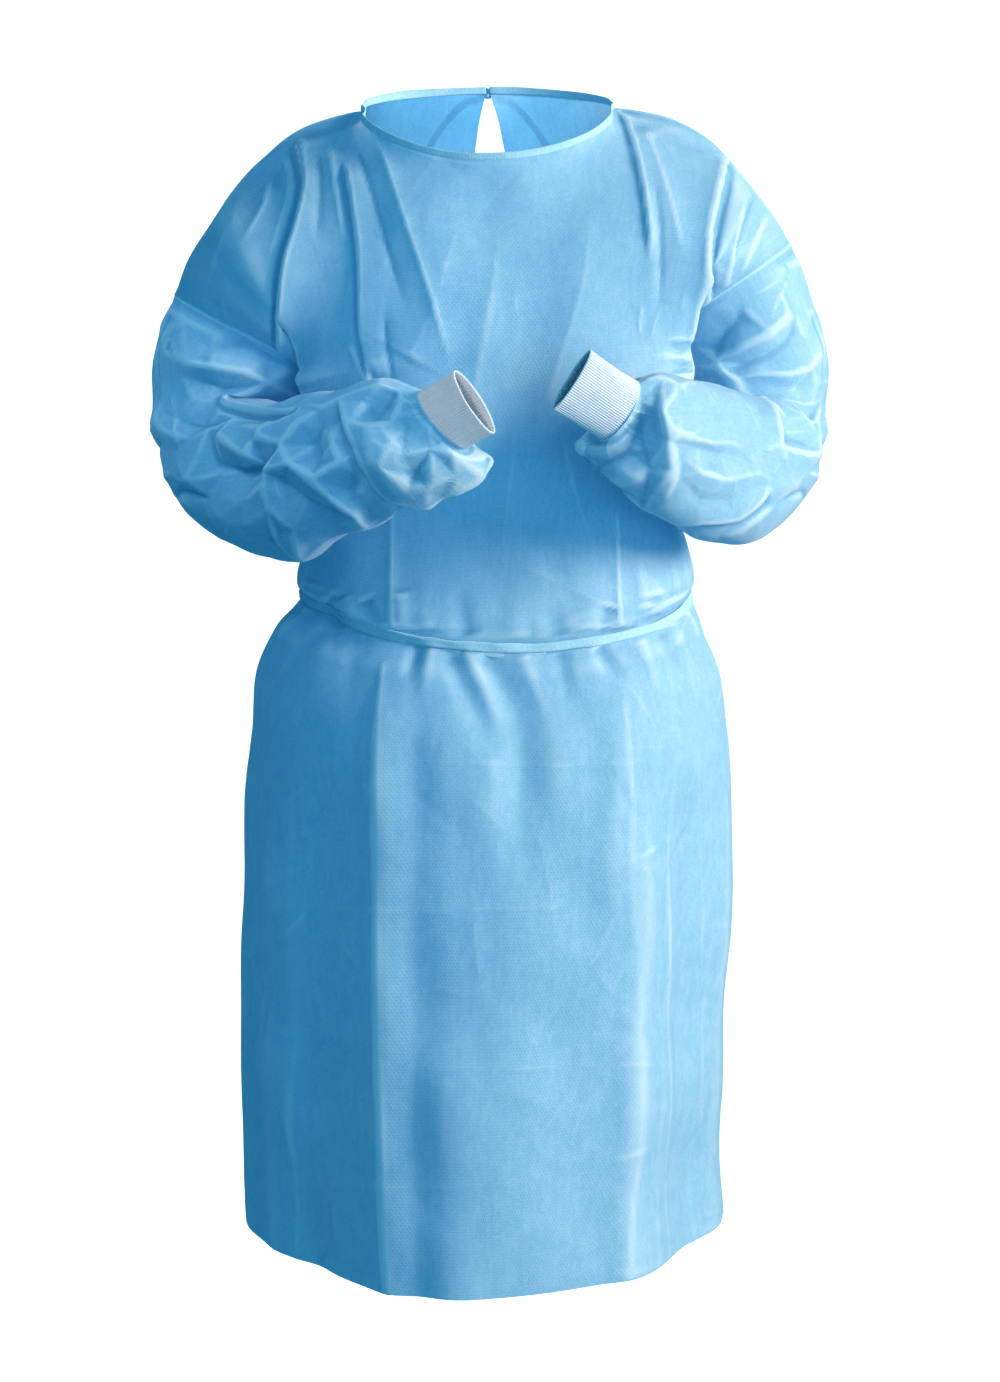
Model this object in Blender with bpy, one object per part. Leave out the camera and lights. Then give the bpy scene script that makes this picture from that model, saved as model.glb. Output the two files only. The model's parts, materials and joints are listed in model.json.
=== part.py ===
"""Isolation gown, filled out as worn: body of three panels, two sleeves with knit
cuffs, neck binding and a waist belt. Metres, +Z up, front faces -Y, +X is the
wearer's left. The origin lies midway between the two shoulder neck points."""

import math

import bmesh
import bpy
import numpy as np

for old in list(bpy.data.objects):
    bpy.data.objects.remove(old, do_unlink=True)

# ---------------------------------------------------------------- named sizes
WALL = 0.0012          # cloth wall
CUFF_WALL = 0.0018     # knit wall
SEAM_GAP = 0.0002      # each edge stands back this far from its seam line
UNDERARM_EASE = 0.004  # the sleeve stands back this much more at the underarm point
HEM_Z = -1.130
WAIST_Z = -0.480       # belt line at the sides
WAIST_SAG = 0.036      # belt line is this much lower at the front centre
CHEST_Z = -0.250       # lowest row of the yoke at the front centre
COLS = 12              # columns from a centre line to a side seam
YOKE_ROWS = 10         # rows from the underarm to the shoulder seam
NECK_COL = 5           # column that meets the shoulder neck point
BAND = 0.0045          # half height of the belt
BAND_THICK = 0.0022
BINDING = 0.0065       # height of the neck binding

# Body sections, one row per level.
# z, centre x, half width, front depth, back depth, squareness, side press, corner lip
BODY_ROWS = [
    (-0.250, 0.009, 0.2060, 0.134, 0.112, 3.1, 0.046, 0.022),
    (-0.290, 0.009, 0.1980, 0.130, 0.112, 2.9, 0.038, 0.018),
    (-0.330, 0.009, 0.1820, 0.124, 0.112, 2.4, 0.021, 0.004),
    (-0.370, 0.009, 0.1790, 0.1235, 0.110, 2.2, 0.012, 0.000),
    (-0.410, 0.009, 0.1860, 0.1275, 0.111, 2.2, 0.003, 0.000),
    (-0.445, 0.009, 0.1940, 0.1325, 0.114, 2.2, 0.000, 0.000),
    (-0.4755, 0.008, 0.1975, 0.137, 0.118, 2.2, 0.000, 0.000),
    (-0.4845, 0.008, 0.1975, 0.137, 0.118, 2.2, 0.000, 0.000),
    (-0.515, 0.001, 0.2130, 0.147, 0.128, 2.2, 0.000, 0.000),
    (-0.560, 0.000, 0.2330, 0.159, 0.140, 2.1, 0.000, 0.000),
    (-0.620, 0.001, 0.2410, 0.171, 0.151, 2.1, 0.000, 0.000),
    (-0.700, 0.000, 0.2470, 0.184, 0.163, 2.0, 0.000, 0.000),
    (-0.790, -0.001, 0.2490, 0.196, 0.174, 2.0, 0.000, 0.000),
    (-0.880, -0.004, 0.2490, 0.207, 0.182, 1.9, 0.000, 0.000),
    (-0.970, -0.006, 0.2480, 0.217, 0.190, 1.9, 0.000, 0.000),
    (-1.060, -0.006, 0.2480, 0.226, 0.196, 1.8, 0.000, 0.000),
    (-1.130, -0.004, 0.2480, 0.233, 0.200, 1.8, 0.000, 0.000),
]

# Gap between the two back edges: z, half gap.
BACK_GAP = [
    (0.030, 0.0015), (0.000, 0.0075), (-0.060, 0.0190), (-0.140, 0.0300),
    (-0.240, 0.0330), (-0.340, 0.0240), (-0.430, 0.0080), (-0.480, 0.0030),
    (-0.560, 0.0060), (-0.750, 0.0110), (-1.130, 0.0150),
]

# Shoulder ridges from the neck point outwards: x, z.
RIDGE_LEFT = [
    (0.1240, -0.0045), (0.1600, -0.0080), (0.1864, -0.0160), (0.2180, -0.0345),
    (0.2368, -0.0528), (0.2538, -0.0720), (0.2698, -0.0913), (0.2839, -0.1107),
    (0.2980, -0.1340),
]
RIDGE_RIGHT = [
    (-0.1240, -0.0060), (-0.1600, -0.0150), (-0.2014, -0.0345), (-0.2222, -0.0528),
    (-0.2382, -0.0720), (-0.2542, -0.0913), (-0.2683, -0.1107), (-0.2814, -0.1301),
    (-0.2946, -0.1500), (-0.3090, -0.1827),
]
# Underarm points where side seam, armhole and sleeve meet: x, z.
UNDERARM_LEFT = (0.1710, -0.2180)
UNDERARM_RIGHT = (-0.1530, -0.2640)
ARMHOLE_DEPTH = 0.074

# Sleeve centre lines and sections from the armhole to the cuff seam.
# x, y, z, up x, up y, up z, half size along up, half size across
SLEEVE_RIGHT_ROWS = [
    (-0.2480, 0.002, -0.2620, 0.0, -1.0, 0.05, 0.072, 0.0810),
    (-0.2560, -0.002, -0.2960, 0.0, -0.97, 0.25, 0.070, 0.0765),
    (-0.2580, -0.019, -0.3290, 0.0, -0.75, 0.66, 0.070, 0.0720),
    (-0.2450, -0.052, -0.3520, 0.0, -0.40, 0.92, 0.072, 0.0620),
    (-0.2100, -0.096, -0.3590, 0.0, -0.05, 1.00, 0.074, 0.0540),
    (-0.1700, -0.138, -0.3490, 0.0, 0.00, 1.00, 0.071, 0.0480),
    (-0.1280, -0.178, -0.3350, 0.0, 0.00, 1.00, 0.065, 0.0440),
    (-0.0900, -0.206, -0.3230, -0.1, 0.00, 1.00, 0.061, 0.0400),
    (-0.0620, -0.223, -0.3150, -0.3, 0.00, 0.95, 0.057, 0.0350),
    (-0.0470, -0.233, -0.3040, -0.5, 0.00, 0.85, 0.043, 0.0240),
    (-0.0390, -0.240, -0.2960, -0.54, 0.00, 0.84, 0.034, 0.0150),
]
CUFF_RIGHT_ROWS = [
    (-0.0390, -0.240, -0.2960, -0.54, 0.00, 0.84, 0.034, 0.0150),
    (-0.0300, -0.254, -0.2900, -0.54, 0.00, 0.84, 0.0325, 0.0130),
    (-0.0200, -0.269, -0.2835, -0.54, 0.00, 0.84, 0.0325, 0.0105),
    (-0.0108, -0.283, -0.2777, -0.54, 0.00, 0.84, 0.0330, 0.0090),
]
SLEEVE_LEFT_ROWS = [
    (0.2540, 0.002, -0.2200, 0.0, -1.0, 0.05, 0.073, 0.0740),
    (0.2615, 0.005, -0.2620, 0.0, -0.99, 0.15, 0.073, 0.0765),
    (0.2635, 0.000, -0.3060, 0.0, -0.90, 0.40, 0.071, 0.0740),
    (0.2600, -0.027, -0.3390, 0.0, -0.70, 0.70, 0.071, 0.0700),
    (0.2470, -0.065, -0.3510, 0.0, -0.30, 0.95, 0.072, 0.0620),
    (0.2220, -0.108, -0.3440, 0.0, 0.00, 1.00, 0.072, 0.0530),
    (0.1930, -0.146, -0.3310, 0.0, 0.00, 1.00, 0.070, 0.0480),
    (0.1660, -0.184, -0.3160, 0.1, 0.00, 1.00, 0.064, 0.0440),
    (0.1440, -0.208, -0.3020, 0.3, 0.00, 0.95, 0.055, 0.0370),
    (0.1290, -0.224, -0.2920, 0.55, 0.00, 0.84, 0.041, 0.0230),
    (0.1200, -0.233, -0.2870, 0.62, 0.00, 0.78, 0.0305, 0.0150),
]
CUFF_LEFT_ROWS = [
    (0.1200, -0.233, -0.2870, 0.62, 0.00, 0.78, 0.0305, 0.0150),
    (0.1060, -0.244, -0.2785, 0.58, 0.00, 0.82, 0.0300, 0.0125),
    (0.0910, -0.256, -0.2685, 0.54, 0.00, 0.84, 0.0305, 0.0100),
    (0.0764, -0.267, -0.2588, 0.50, 0.00, 0.86, 0.0315, 0.0080),
]
SLEEVE_STEPS = 17      # rows of quads from the armhole to the cuff seam

# Folds of the skirt and chest, seen from the front.
# x top, z top, x bottom, z bottom, half width, height (+ ridge, - trough)
FRONT_FOLDS = [
    (-0.096, -0.530, -0.096, -1.130, 0.030, 0.009),
    (-0.165, -0.620, -0.176, -1.130, 0.045, -0.011),
    (0.130, -0.530, 0.140, -1.130, 0.028, 0.005),
    (0.195, -0.640, 0.203, -1.130, 0.045, -0.015),
    (0.020, -0.520, 0.045, -0.760, 0.035, -0.009),
    (-0.045, -0.520, -0.035, -0.640, 0.022, 0.005),
    (0.090, -0.500, 0.080, -0.620, 0.024, 0.005),
]
BACK_FOLDS = [
    (-0.100, -0.520, -0.110, -1.130, 0.035, 0.009),
    (0.100, -0.520, 0.110, -1.130, 0.035, 0.009),
    (-0.060, -0.520, -0.065, -0.800, 0.025, -0.008),
    (0.060, -0.520, 0.065, -0.800, 0.025, -0.008),
    (-0.170, -0.560, -0.180, -1.130, 0.040, -0.009),
    (0.170, -0.560, 0.180, -1.130, 0.040, -0.009),
]
# Folds of the yoke: column share, half width, depth, row share from, row share to
YOKE_FOLDS = [
    (0.80, 0.120, 0.012, -0.20, 0.62),
]


# ---------------------------------------------------------------- small helpers
def lerp_table(x, rows, col):
    xs = np.array([row[0] for row in rows])
    ys = np.array([row[col] for row in rows])
    order = np.argsort(xs)
    return np.interp(x, xs[order], ys[order])


def smooth(x, a, b):
    t = np.clip((np.asarray(x, float) - a) / (b - a), 0.0, 1.0)
    return t * t * (3.0 - 2.0 * t)


def bump(x, centre, half):
    t = np.clip(np.abs(np.asarray(x, float) - centre) / half, 0.0, 1.0)
    return (1.0 - t * t) ** 2


def along(points, share):
    """Points at the given shares of a polyline's length, on a Catmull-Rom curve."""
    points = np.array(points, float)
    seg = np.linalg.norm(np.diff(points, axis=0), axis=1)
    knots = np.concatenate([[0.0], np.cumsum(seg)]) / seg.sum()
    out = []
    for s in np.atleast_1d(share):
        i = int(np.clip(np.searchsorted(knots, s, side="right") - 1, 0, len(points) - 2))
        t = (s - knots[i]) / (knots[i + 1] - knots[i])
        p0 = points[max(i - 1, 0)]
        p1, p2 = points[i], points[i + 1]
        p3 = points[min(i + 2, len(points) - 1)]
        out.append(
            0.5
            * (
                2 * p1
                + (p2 - p0) * t
                + (2 * p0 - 5 * p1 + 4 * p2 - p3) * t**2
                + (3 * p1 - p0 - 3 * p2 + p3) * t**3
            )
        )
    return np.array(out)


# ---------------------------------------------------------------- body surface
def half_gap(z):
    return lerp_table(z, BACK_GAP, 1)


def side_sizes(side):
    if side > 0:
        return RIDGE_LEFT, UNDERARM_LEFT
    return RIDGE_RIGHT, UNDERARM_RIGHT


def level_point(row, u, side, front):
    """One point of a body section: u runs from the centre line (0) to the side (1)."""
    z0, cx, a, bf, bb, p, press, lip = row
    phi = 0.5 * math.pi * u
    e = 2.0 / p
    b = bf if front else bb
    x = a * math.sin(phi) ** e - press * float(smooth(u, 0.66, 0.95))
    y = b * max(math.cos(phi), 0.0) ** e
    if front:
        x += lip * float(bump(u, 0.64, 0.17))
    _, (ux, uz) = side_sizes(side)
    sag = WAIST_SAG * float(bump(z0, WAIST_Z, 0.22)) * math.cos(phi) ** 2
    if not front:
        sag *= 0.25
    lift = (uz - CHEST_Z) * float(smooth(u, 0.45, 1.0)) * float(smooth(z0, -0.40, CHEST_Z))
    z = z0 - sag + lift
    px = cx + side * x
    if row is BODY_ROWS[0]:
        px += (ux - (cx + side * (a - press))) * float(smooth(u, 0.75, 1.0))
    if not front:
        px += side * float(half_gap(z)) * (1.0 - u) ** 2
    return np.array([px, -y if front else y, z])


def neck_point(u, side, front):
    """Neck edge: u = 0 at the centre line, 1 at the shoulder neck point."""
    ridge, _ = side_sizes(side)
    nx, nz = ridge[0]
    c, s = math.cos(0.5 * math.pi * u), math.sin(0.5 * math.pi * u)
    if front:
        return np.array([nx * s, -0.094 * c, nz + (-0.0575 - nz) * c**1.15])
    gap = side * 0.0018
    return np.array([gap + (nx - gap) * s, 0.074 * c, nz + (0.0165 - nz) * c])


def top_point(u, side, front):
    ridge, _ = side_sizes(side)
    share = NECK_COL / COLS
    if u <= share + 1e-9:
        return neck_point(min(u / share, 1.0), side, front)
    line = [(x, 0.0, z) for x, z in ridge]
    return along(line, (u - share) / (1.0 - share))[0]


def armhole_point(v, side, front):
    """Half of the armhole loop, from the underarm (0) to the shoulder (1)."""
    ridge, (ux, uz) = side_sizes(side)
    low = np.array([ux, 0.0, uz])
    high = np.array([ridge[-1][0], 0.0, ridge[-1][1]])
    mid = 0.5 * (low + high)
    beta = math.pi * v
    out = np.array([0.0, -1.0 if front else 1.0, 0.0])
    return mid + (low - mid) * math.cos(beta) + out * ARMHOLE_DEPTH * math.sin(beta)


def centre_point(v, side, front):
    low = level_point(BODY_ROWS[0], 0.0, side, front)
    high = neck_point(0.0, side, front)
    p = low + (high - low) * v
    if front:
        p[1] -= 0.010 * math.sin(math.pi * v)
    else:
        p[1] += 0.022 * math.sin(math.pi * v) * (1.0 - 0.3 * v)
        p[0] = side * float(half_gap(p[2]))
        if v >= 1.0:
            p[0] = side * 0.0018
    return p


def yoke_point(u, v, side, front):
    """Surface between the chest row, the neck and shoulder line, the centre and the armhole."""
    h = float(smooth(u, 0.0, 1.0))
    bottom = level_point(BODY_ROWS[0], u, side, front)
    top = top_point(u, side, front)
    left = centre_point(v, side, front)
    right = armhole_point(v, side, front)
    l0, l1 = centre_point(0.0, side, front), centre_point(1.0, side, front)
    r0, r1 = armhole_point(0.0, side, front), armhole_point(1.0, side, front)
    p = (1 - v) * bottom + v * top
    p = p + (1 - h) * (left - (1 - v) * l0 - v * l1)
    p = p + h * (right - (1 - v) * r0 - v * r1)
    sign = -1.0 if front else 1.0
    if front:
        for at, half, depth, v0, v1 in YOKE_FOLDS:
            fade = float(1.0 - smooth(v, v0 + 0.35, v1)) * float(smooth(v, v0, v0 + 0.25))
            p[1] += depth * float(bump(u, at, half)) * fade
    full = math.sin(math.pi * v) * (1.0 - u) * u * 4.0
    p[1] += sign * 0.006 * full
    return p


def apply_folds(p, folds, sign):
    amount = 0.0
    for xt, zt, xb, zb, half, height in folds:
        if p[2] > zt + 0.05 or p[2] < zb - 0.01:
            continue
        t = np.clip((zt - p[2]) / (zt - zb), 0.0, 1.0)
        x = xt + (xb - xt) * t
        fade_low = 1.0 if zb <= HEM_Z + 0.01 else float(1.0 - smooth(-p[2], -zb - 0.12, -zb))
        grow = float(smooth(-p[2], -zt - 0.015, -zt + 0.10))
        amount += height * float(bump(p[0], x, half)) * fade_low * grow
    direction = np.array([p[0] * 0.9, p[1], 0.0])
    direction /= np.linalg.norm(direction) + 1e-9
    return p + direction * amount


def body_half(side, front):
    """Rows from the hem up to the neck and shoulder line, columns from the centre to the side."""
    grid = []
    for row in reversed(BODY_ROWS[1:]):
        line = [level_point(row, i / COLS, side, front) for i in range(COLS + 1)]
        folds = FRONT_FOLDS if front else BACK_FOLDS
        grid.append([apply_folds(p, folds, -1 if front else 1) for p in line])
    for j in range(YOKE_ROWS + 1):
        v = j / YOKE_ROWS
        grid.append([yoke_point(i / COLS, v, side, front) for i in range(COLS + 1)])
    grid = np.array(grid)
    # Ease the change of direction where the yoke rests on the chest row.
    k = len(BODY_ROWS) - 1
    for _ in range(2):
        eased = grid.copy()
        for j in range(k - 2, k + 3):
            eased[j, 1:-1] = 0.5 * grid[j, 1:-1] + 0.25 * (grid[j - 1, 1:-1] + grid[j + 1, 1:-1])
        eased[:, 0] = grid[:, 0]
        grid = eased
    for _ in range(3):
        eased = grid.copy()
        for j in range(k - 1, k + 7):
            for i in range(7, COLS):
                w = 0.5 * float(bump(j, k + 1.5, 5.5))
                near = 0.25 * (grid[j, i - 1] + grid[j, i + 1] + grid[j - 1, i] + grid[j + 1, i])
                eased[j, i] = (1 - w) * grid[j, i] + w * near
        grid = eased
    # Spread the corner at the shoulder neck point over the columns beside it.
    for _ in range(14):
        eased = grid.copy()
        for j in range(k + 1, len(grid) - 1):
            for i in range(1, 9):
                w = 0.5 * float(bump(i, NECK_COL + 0.5, 4.5))
                eased[j, i] = (1 - w) * grid[j, i] + 0.5 * w * (grid[j, i - 1] + grid[j, i + 1])
        grid = eased
    return grid


# ---------------------------------------------------------------- sleeve surface
def ring_points(row, tangent, side, count):
    x, y, z, ux, uy, uz, half_up, half_across = row
    centre = np.array([x, y, z])
    up = np.array([ux, uy, uz], float)
    up -= tangent * up.dot(tangent)
    up /= np.linalg.norm(up)
    inner = np.cross(up, tangent) if side < 0 else np.cross(tangent, up)
    out = []
    for k in range(count):
        a = 2 * math.pi * k / count
        out.append(centre + inner * half_across * math.cos(a) + up * half_up * math.sin(a))
    return np.array(out)


def tangents(rows, before=None):
    c = np.array([row[:3] for row in rows], float)
    if before is not None:
        c = np.vstack([before, c])
    t = np.gradient(c, axis=0)
    t /= np.linalg.norm(t, axis=1)[:, None]
    return t[1:] if before is not None else t


def sleeve_grid(side):
    """Rows from the armhole to the cuff seam, points round the sleeve."""
    count = 2 * YOKE_ROWS
    rows = SLEEVE_LEFT_ROWS if side > 0 else SLEEVE_RIGHT_ROWS
    first = [armhole_point(j / YOKE_ROWS, side, True) for j in range(YOKE_ROWS + 1)]
    first += [armhole_point(1 - j / YOKE_ROWS, side, False) for j in range(1, YOKE_ROWS)]
    first = np.array(first)
    ts = tangents(rows, first.mean(axis=0))
    rings = [first] + [ring_points(r, t, side, count) for r, t in zip(rows, ts)]
    rings = np.array(rings)
    share = np.linspace(0.0, 1.0, SLEEVE_STEPS + 1)
    mid = rings.mean(axis=1)
    seg = np.linalg.norm(np.diff(mid, axis=0), axis=1)
    knots = np.concatenate([[0.0], np.cumsum(seg)]) / seg.sum()
    out = np.empty((SLEEVE_STEPS + 1, count, 3))
    for n, s in enumerate(share):
        i = int(np.clip(np.searchsorted(knots, s, side="right") - 1, 0, len(rings) - 2))
        t = (s - knots[i]) / (knots[i + 1] - knots[i])
        p0, p1 = rings[max(i - 1, 0)], rings[i]
        p2, p3 = rings[i + 1], rings[min(i + 2, len(rings) - 1)]
        out[n] = 0.5 * (
            2 * p1
            + (p2 - p0) * t
            + (2 * p0 - 5 * p1 + 4 * p2 - p3) * t**2
            + (3 * p1 - p0 - 3 * p2 + p3) * t**3
        )
    return out


def cuff_grid(side, count):
    rows = CUFF_LEFT_ROWS if side > 0 else CUFF_RIGHT_ROWS
    sleeve = SLEEVE_LEFT_ROWS if side > 0 else SLEEVE_RIGHT_ROWS
    ts = tangents(rows, np.array(sleeve[-2][:3]))
    ts[0] = tangents(sleeve)[-1]
    return np.array([ring_points(r, t, side, count) for r, t in zip(rows, ts)])


# ---------------------------------------------------------------- meshes
def finish_object(name, bm, colour, rough):
    """The object made from a closed bmesh: smooth shading with sharp seam edges, own material."""
    bmesh.ops.recalc_face_normals(bm, faces=bm.faces)
    mesh = bpy.data.meshes.new(name)
    bm.to_mesh(mesh)
    bm.free()
    mesh.shade_smooth()
    mesh.set_sharp_from_angle(angle=math.radians(50.0))
    obj = bpy.data.objects.new(name, mesh)
    material = bpy.data.materials.new(name + "_material")
    material.use_nodes = True
    bsdf = material.node_tree.nodes["Principled BSDF"]
    bsdf.inputs["Base Color"].default_value = (*colour, 1.0)
    bsdf.inputs["Roughness"].default_value = rough
    obj.data.materials.append(material)
    gown.objects.link(obj)
    obj.parent = shoulders
    return obj


def make_object(name, verts, faces, colour, rough):
    bm = bmesh.new()
    points = [bm.verts.new(tuple(v)) for v in verts]
    for f in faces:
        bm.faces.new([points[i] for i in f])
    return finish_object(name, bm, colour, rough)


def quads_of(grid, wrap):
    rows, cols = grid.shape[:2]
    out = []
    for j in range(rows - 1):
        for i in range(cols if wrap else cols - 1):
            i2 = (i + 1) % cols
            out.append(((j, i), (j, i2), (j + 1, i2), (j + 1, i)))
    return out


def weld_normals(parts):
    """Unit normals shared by every part that has the same point. parts: (grid, wrap, flip)."""
    total = {}

    def key(p):
        return tuple(np.round(p, 5))

    for grid, wrap, flip in parts:
        for q in quads_of(grid, wrap):
            p = [grid[c] for c in q]
            n = np.cross(p[2] - p[0], p[3] - p[1])
            n = n / (np.linalg.norm(n) + 1e-12) * (-1.0 if flip else 1.0)
            for c in p:
                total[key(c)] = total.get(key(c), 0.0) + n
    out = []
    for grid, wrap, flip in parts:
        normals = np.empty_like(grid)
        for index in np.ndindex(grid.shape[:2]):
            n = total[key(grid[index])]
            normals[index] = n / (np.linalg.norm(n) + 1e-12)
        out.append(normals)
    return out


def pull_back(name, grid, wrap, gap):
    """The grid with its open edges moved inwards along the cloth by gap."""
    out = grid.copy()

    def step(a, b):
        d = b - a
        return a + d / (np.linalg.norm(d, axis=-1, keepdims=True) + 1e-12) * gap

    if wrap and name.startswith("sleeve"):
        # The sleeve seam ends a little lower at the underarm, where four pieces meet.
        turn = np.abs(np.arange(grid.shape[1]) - 0.5 * grid.shape[1]) / (0.5 * grid.shape[1])
        local = gap + UNDERARM_EASE * smooth(turn, 0.78, 1.0)
        d = grid[1] - grid[0]
        out[0] = grid[0] + d / np.linalg.norm(d, axis=1, keepdims=True) * local[:, None]
    else:
        out[0] = step(grid[0], grid[1])
    out[-1] = step(grid[-1], grid[-2])
    if not wrap:
        base = out.copy()
        out[:, 0] = step(base[:, 0], grid[:, 1])
        out[:, -1] = step(base[:, -1], grid[:, -2])
    return out


def shell(name, grid, normals, wrap, wall, colour, rough, gap=SEAM_GAP):
    outer = pull_back(name, grid, wrap, gap)
    inner = outer - normals * wall
    rows, cols = grid.shape[:2]
    verts = list(outer.reshape(-1, 3)) + list(inner.reshape(-1, 3))
    n = rows * cols
    faces = []
    for q in quads_of(grid, wrap):
        a, b, c, d = [j * cols + i for j, i in q]
        one = np.linalg.norm(verts[a] - verts[c])
        two = np.linalg.norm(verts[b] - verts[d])
        # Both faces of the wall turn over the same diagonal.
        for tri in ([(a, b, c), (a, c, d)] if one < two else [(a, b, d), (b, c, d)]):
            faces.append(tri)
            faces.append([n + k for k in reversed(tri)])

    def strip(loop):
        for a, b in zip(loop[:-1], loop[1:]):
            faces.append([b, a, n + a, n + b])

    if wrap:
        low = [i for i in range(cols)] + [0]
        high = [(rows - 1) * cols + i for i in range(cols)] + [(rows - 1) * cols]
        strip(low)
        strip(high[::-1])
    else:
        loop = [i for i in range(cols)]
        loop += [j * cols + cols - 1 for j in range(1, rows)]
        loop += [(rows - 1) * cols + i for i in range(cols - 2, -1, -1)]
        loop += [j * cols for j in range(rows - 2, -1, -1)]
        strip(loop)
    return make_object(name, verts, faces, colour, rough)


def bar(name, sections, closed, colour, rough):
    """A solid swept through sections, each a list of corner points in the same order."""
    sections = np.array(sections)
    count, corners = sections.shape[:2]
    verts = list(sections.reshape(-1, 3))
    faces = []
    for s in range(count if closed else count - 1):
        t = (s + 1) % count
        for c in range(corners):
            d = (c + 1) % corners
            faces.append([s * corners + c, s * corners + d, t * corners + d, t * corners + c])
    if not closed:
        faces.append(list(range(corners))[::-1])
        faces.append([(count - 1) * corners + c for c in range(corners)])
    return make_object(name, verts, faces, colour, rough)


def knot(name, centre, radii, colour, rough, rows=6, cols=8):
    """A drawn-up overhand knot: a small pillow, wider than it is high."""
    bm = bmesh.new()
    bmesh.ops.create_uvsphere(bm, u_segments=cols, v_segments=rows, radius=1.0)
    for vert in bm.verts:
        vert.co = [c + r * q for c, r, q in zip(centre, radii, vert.co)]
    return finish_object(name, bm, colour, rough)


gown = bpy.data.collections.new("isolation_gown")
bpy.context.scene.collection.children.link(gown)
shoulders = bpy.data.objects.new("shoulders", None)
shoulders.empty_display_size = 0.05
gown.objects.link(shoulders)

BLUE = (0.25, 0.58, 0.85)
BINDING_BLUE = (0.40, 0.72, 0.92)
WHITE = (0.85, 0.88, 0.90)

front_left, front_right = body_half(1, True), body_half(-1, True)
back_left, back_right = body_half(1, False), body_half(-1, False)
front = np.concatenate([front_right[:, ::-1], front_left[:, 1:]], axis=1)
sleeve_left, sleeve_right = sleeve_grid(1), sleeve_grid(-1)
cuff_left = cuff_grid(1, 2 * YOKE_ROWS)
cuff_right = cuff_grid(-1, 2 * YOKE_ROWS)
sleeve_left[-1] = cuff_left[0]
sleeve_right[-1] = cuff_right[0]

def faces_in(grid, wrap):
    """True where the grid's own facing runs inwards, away from the outside of the garment."""
    total = 0.0
    for q in quads_of(grid, wrap):
        p = [grid[c] for c in q]
        n = np.cross(p[2] - p[0], p[3] - p[1])
        mid = grid[q[0][0]].mean(axis=0) if wrap else np.array([0.0, 0.0, p[0][2]])
        total += float(n.dot(p[0] - mid))
    return total < 0.0


parts = [
    (grid, wrap, faces_in(grid, wrap))
    for grid, wrap in (
        (front, False), (back_left, False), (back_right, False), (sleeve_left, True),
        (sleeve_right, True), (cuff_left, True), (cuff_right, True),
    )
]
(n_front, n_back_left, n_back_right, n_sleeve_left, n_sleeve_right,
 n_cuff_left, n_cuff_right) = weld_normals(parts)

for grid, normals in ((sleeve_left, n_sleeve_left), (sleeve_right, n_sleeve_right)):
    half = grid.shape[1] / 2.0
    for i in range(grid.shape[1]):
        own = float(smooth(abs(i - half) / half, 0.68, 0.95))
        n = (1 - own) * normals[0, i] + own * normals[1, i]
        normals[0, i] = n / np.linalg.norm(n)

shell("front_panel", front, n_front, False, WALL, BLUE, 0.75)
shell("back_panel_left", back_left, n_back_left, False, WALL, BLUE, 0.75)
shell("back_panel_right", back_right, n_back_right, False, WALL, BLUE, 0.75)
shell("sleeve_left", sleeve_left, n_sleeve_left, True, WALL, BLUE, 0.75)
shell("sleeve_right", sleeve_right, n_sleeve_right, True, WALL, BLUE, 0.75)
shell("cuff_left", cuff_left, n_cuff_left, True, CUFF_WALL, WHITE, 0.9)
shell("cuff_right", cuff_right, n_cuff_right, True, CUFF_WALL, WHITE, 0.9)

# ---------------------------------------------------------------- neck binding
edge = []
for grid, order in (
    (back_right, range(0, NECK_COL)),
    (front, range(COLS - NECK_COL, COLS + NECK_COL + 1)),
    (back_left, range(NECK_COL - 1, -1, -1)),
):
    edge += [grid[-1, i] for i in order]
sections = []
for k, p in enumerate(edge):
    run = edge[min(k + 1, len(edge) - 1)] - edge[max(k - 1, 0)]
    run /= np.linalg.norm(run)
    out = np.array([p[0], p[1], 0.0])
    out -= run * out.dot(run)
    out /= np.linalg.norm(out)
    up = np.cross(out, run)
    up *= np.sign(up[2])
    base = p + up * 0.0004
    low, high = -(WALL + 0.0006), 0.0006
    sections.append([
        base + out * low, base + up * BINDING + out * low,
        base + up * BINDING + out * high, base + out * high,
    ])
bar("neck_binding", sections, False, BINDING_BLUE, 0.7)

# ---------------------------------------------------------------- waist belt
BELT_ROW = len(BODY_ROWS) - 1 - 7   # row at the lower edge of the belt; the next one is the upper edge
loop = []
for grid, normals, order in (
    (front, n_front, range(0, 2 * COLS + 1)),
    (back_left, n_back_left, range(COLS - 1, -1, -1)),
    (back_right, n_back_right, range(0, COLS)),
):
    for i in order:
        low, high = grid[BELT_ROW, i], grid[BELT_ROW + 1, i]
        n = normals[BELT_ROW, i] + normals[BELT_ROW + 1, i]
        up = (high - low) / np.linalg.norm(high - low)
        n = n - up * n.dot(up)
        loop.append((0.5 * (low + high), up, n / np.linalg.norm(n)))
sections = []
for p, up, n in loop:
    a, b = p - up * BAND, p + up * BAND
    sections.append([a + n * 0.0006, b + n * 0.0006, b + n * (0.0006 + BAND_THICK), a + n * (0.0006 + BAND_THICK)])
bar("waist_belt", sections, True, BINDING_BLUE, 0.7)


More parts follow.
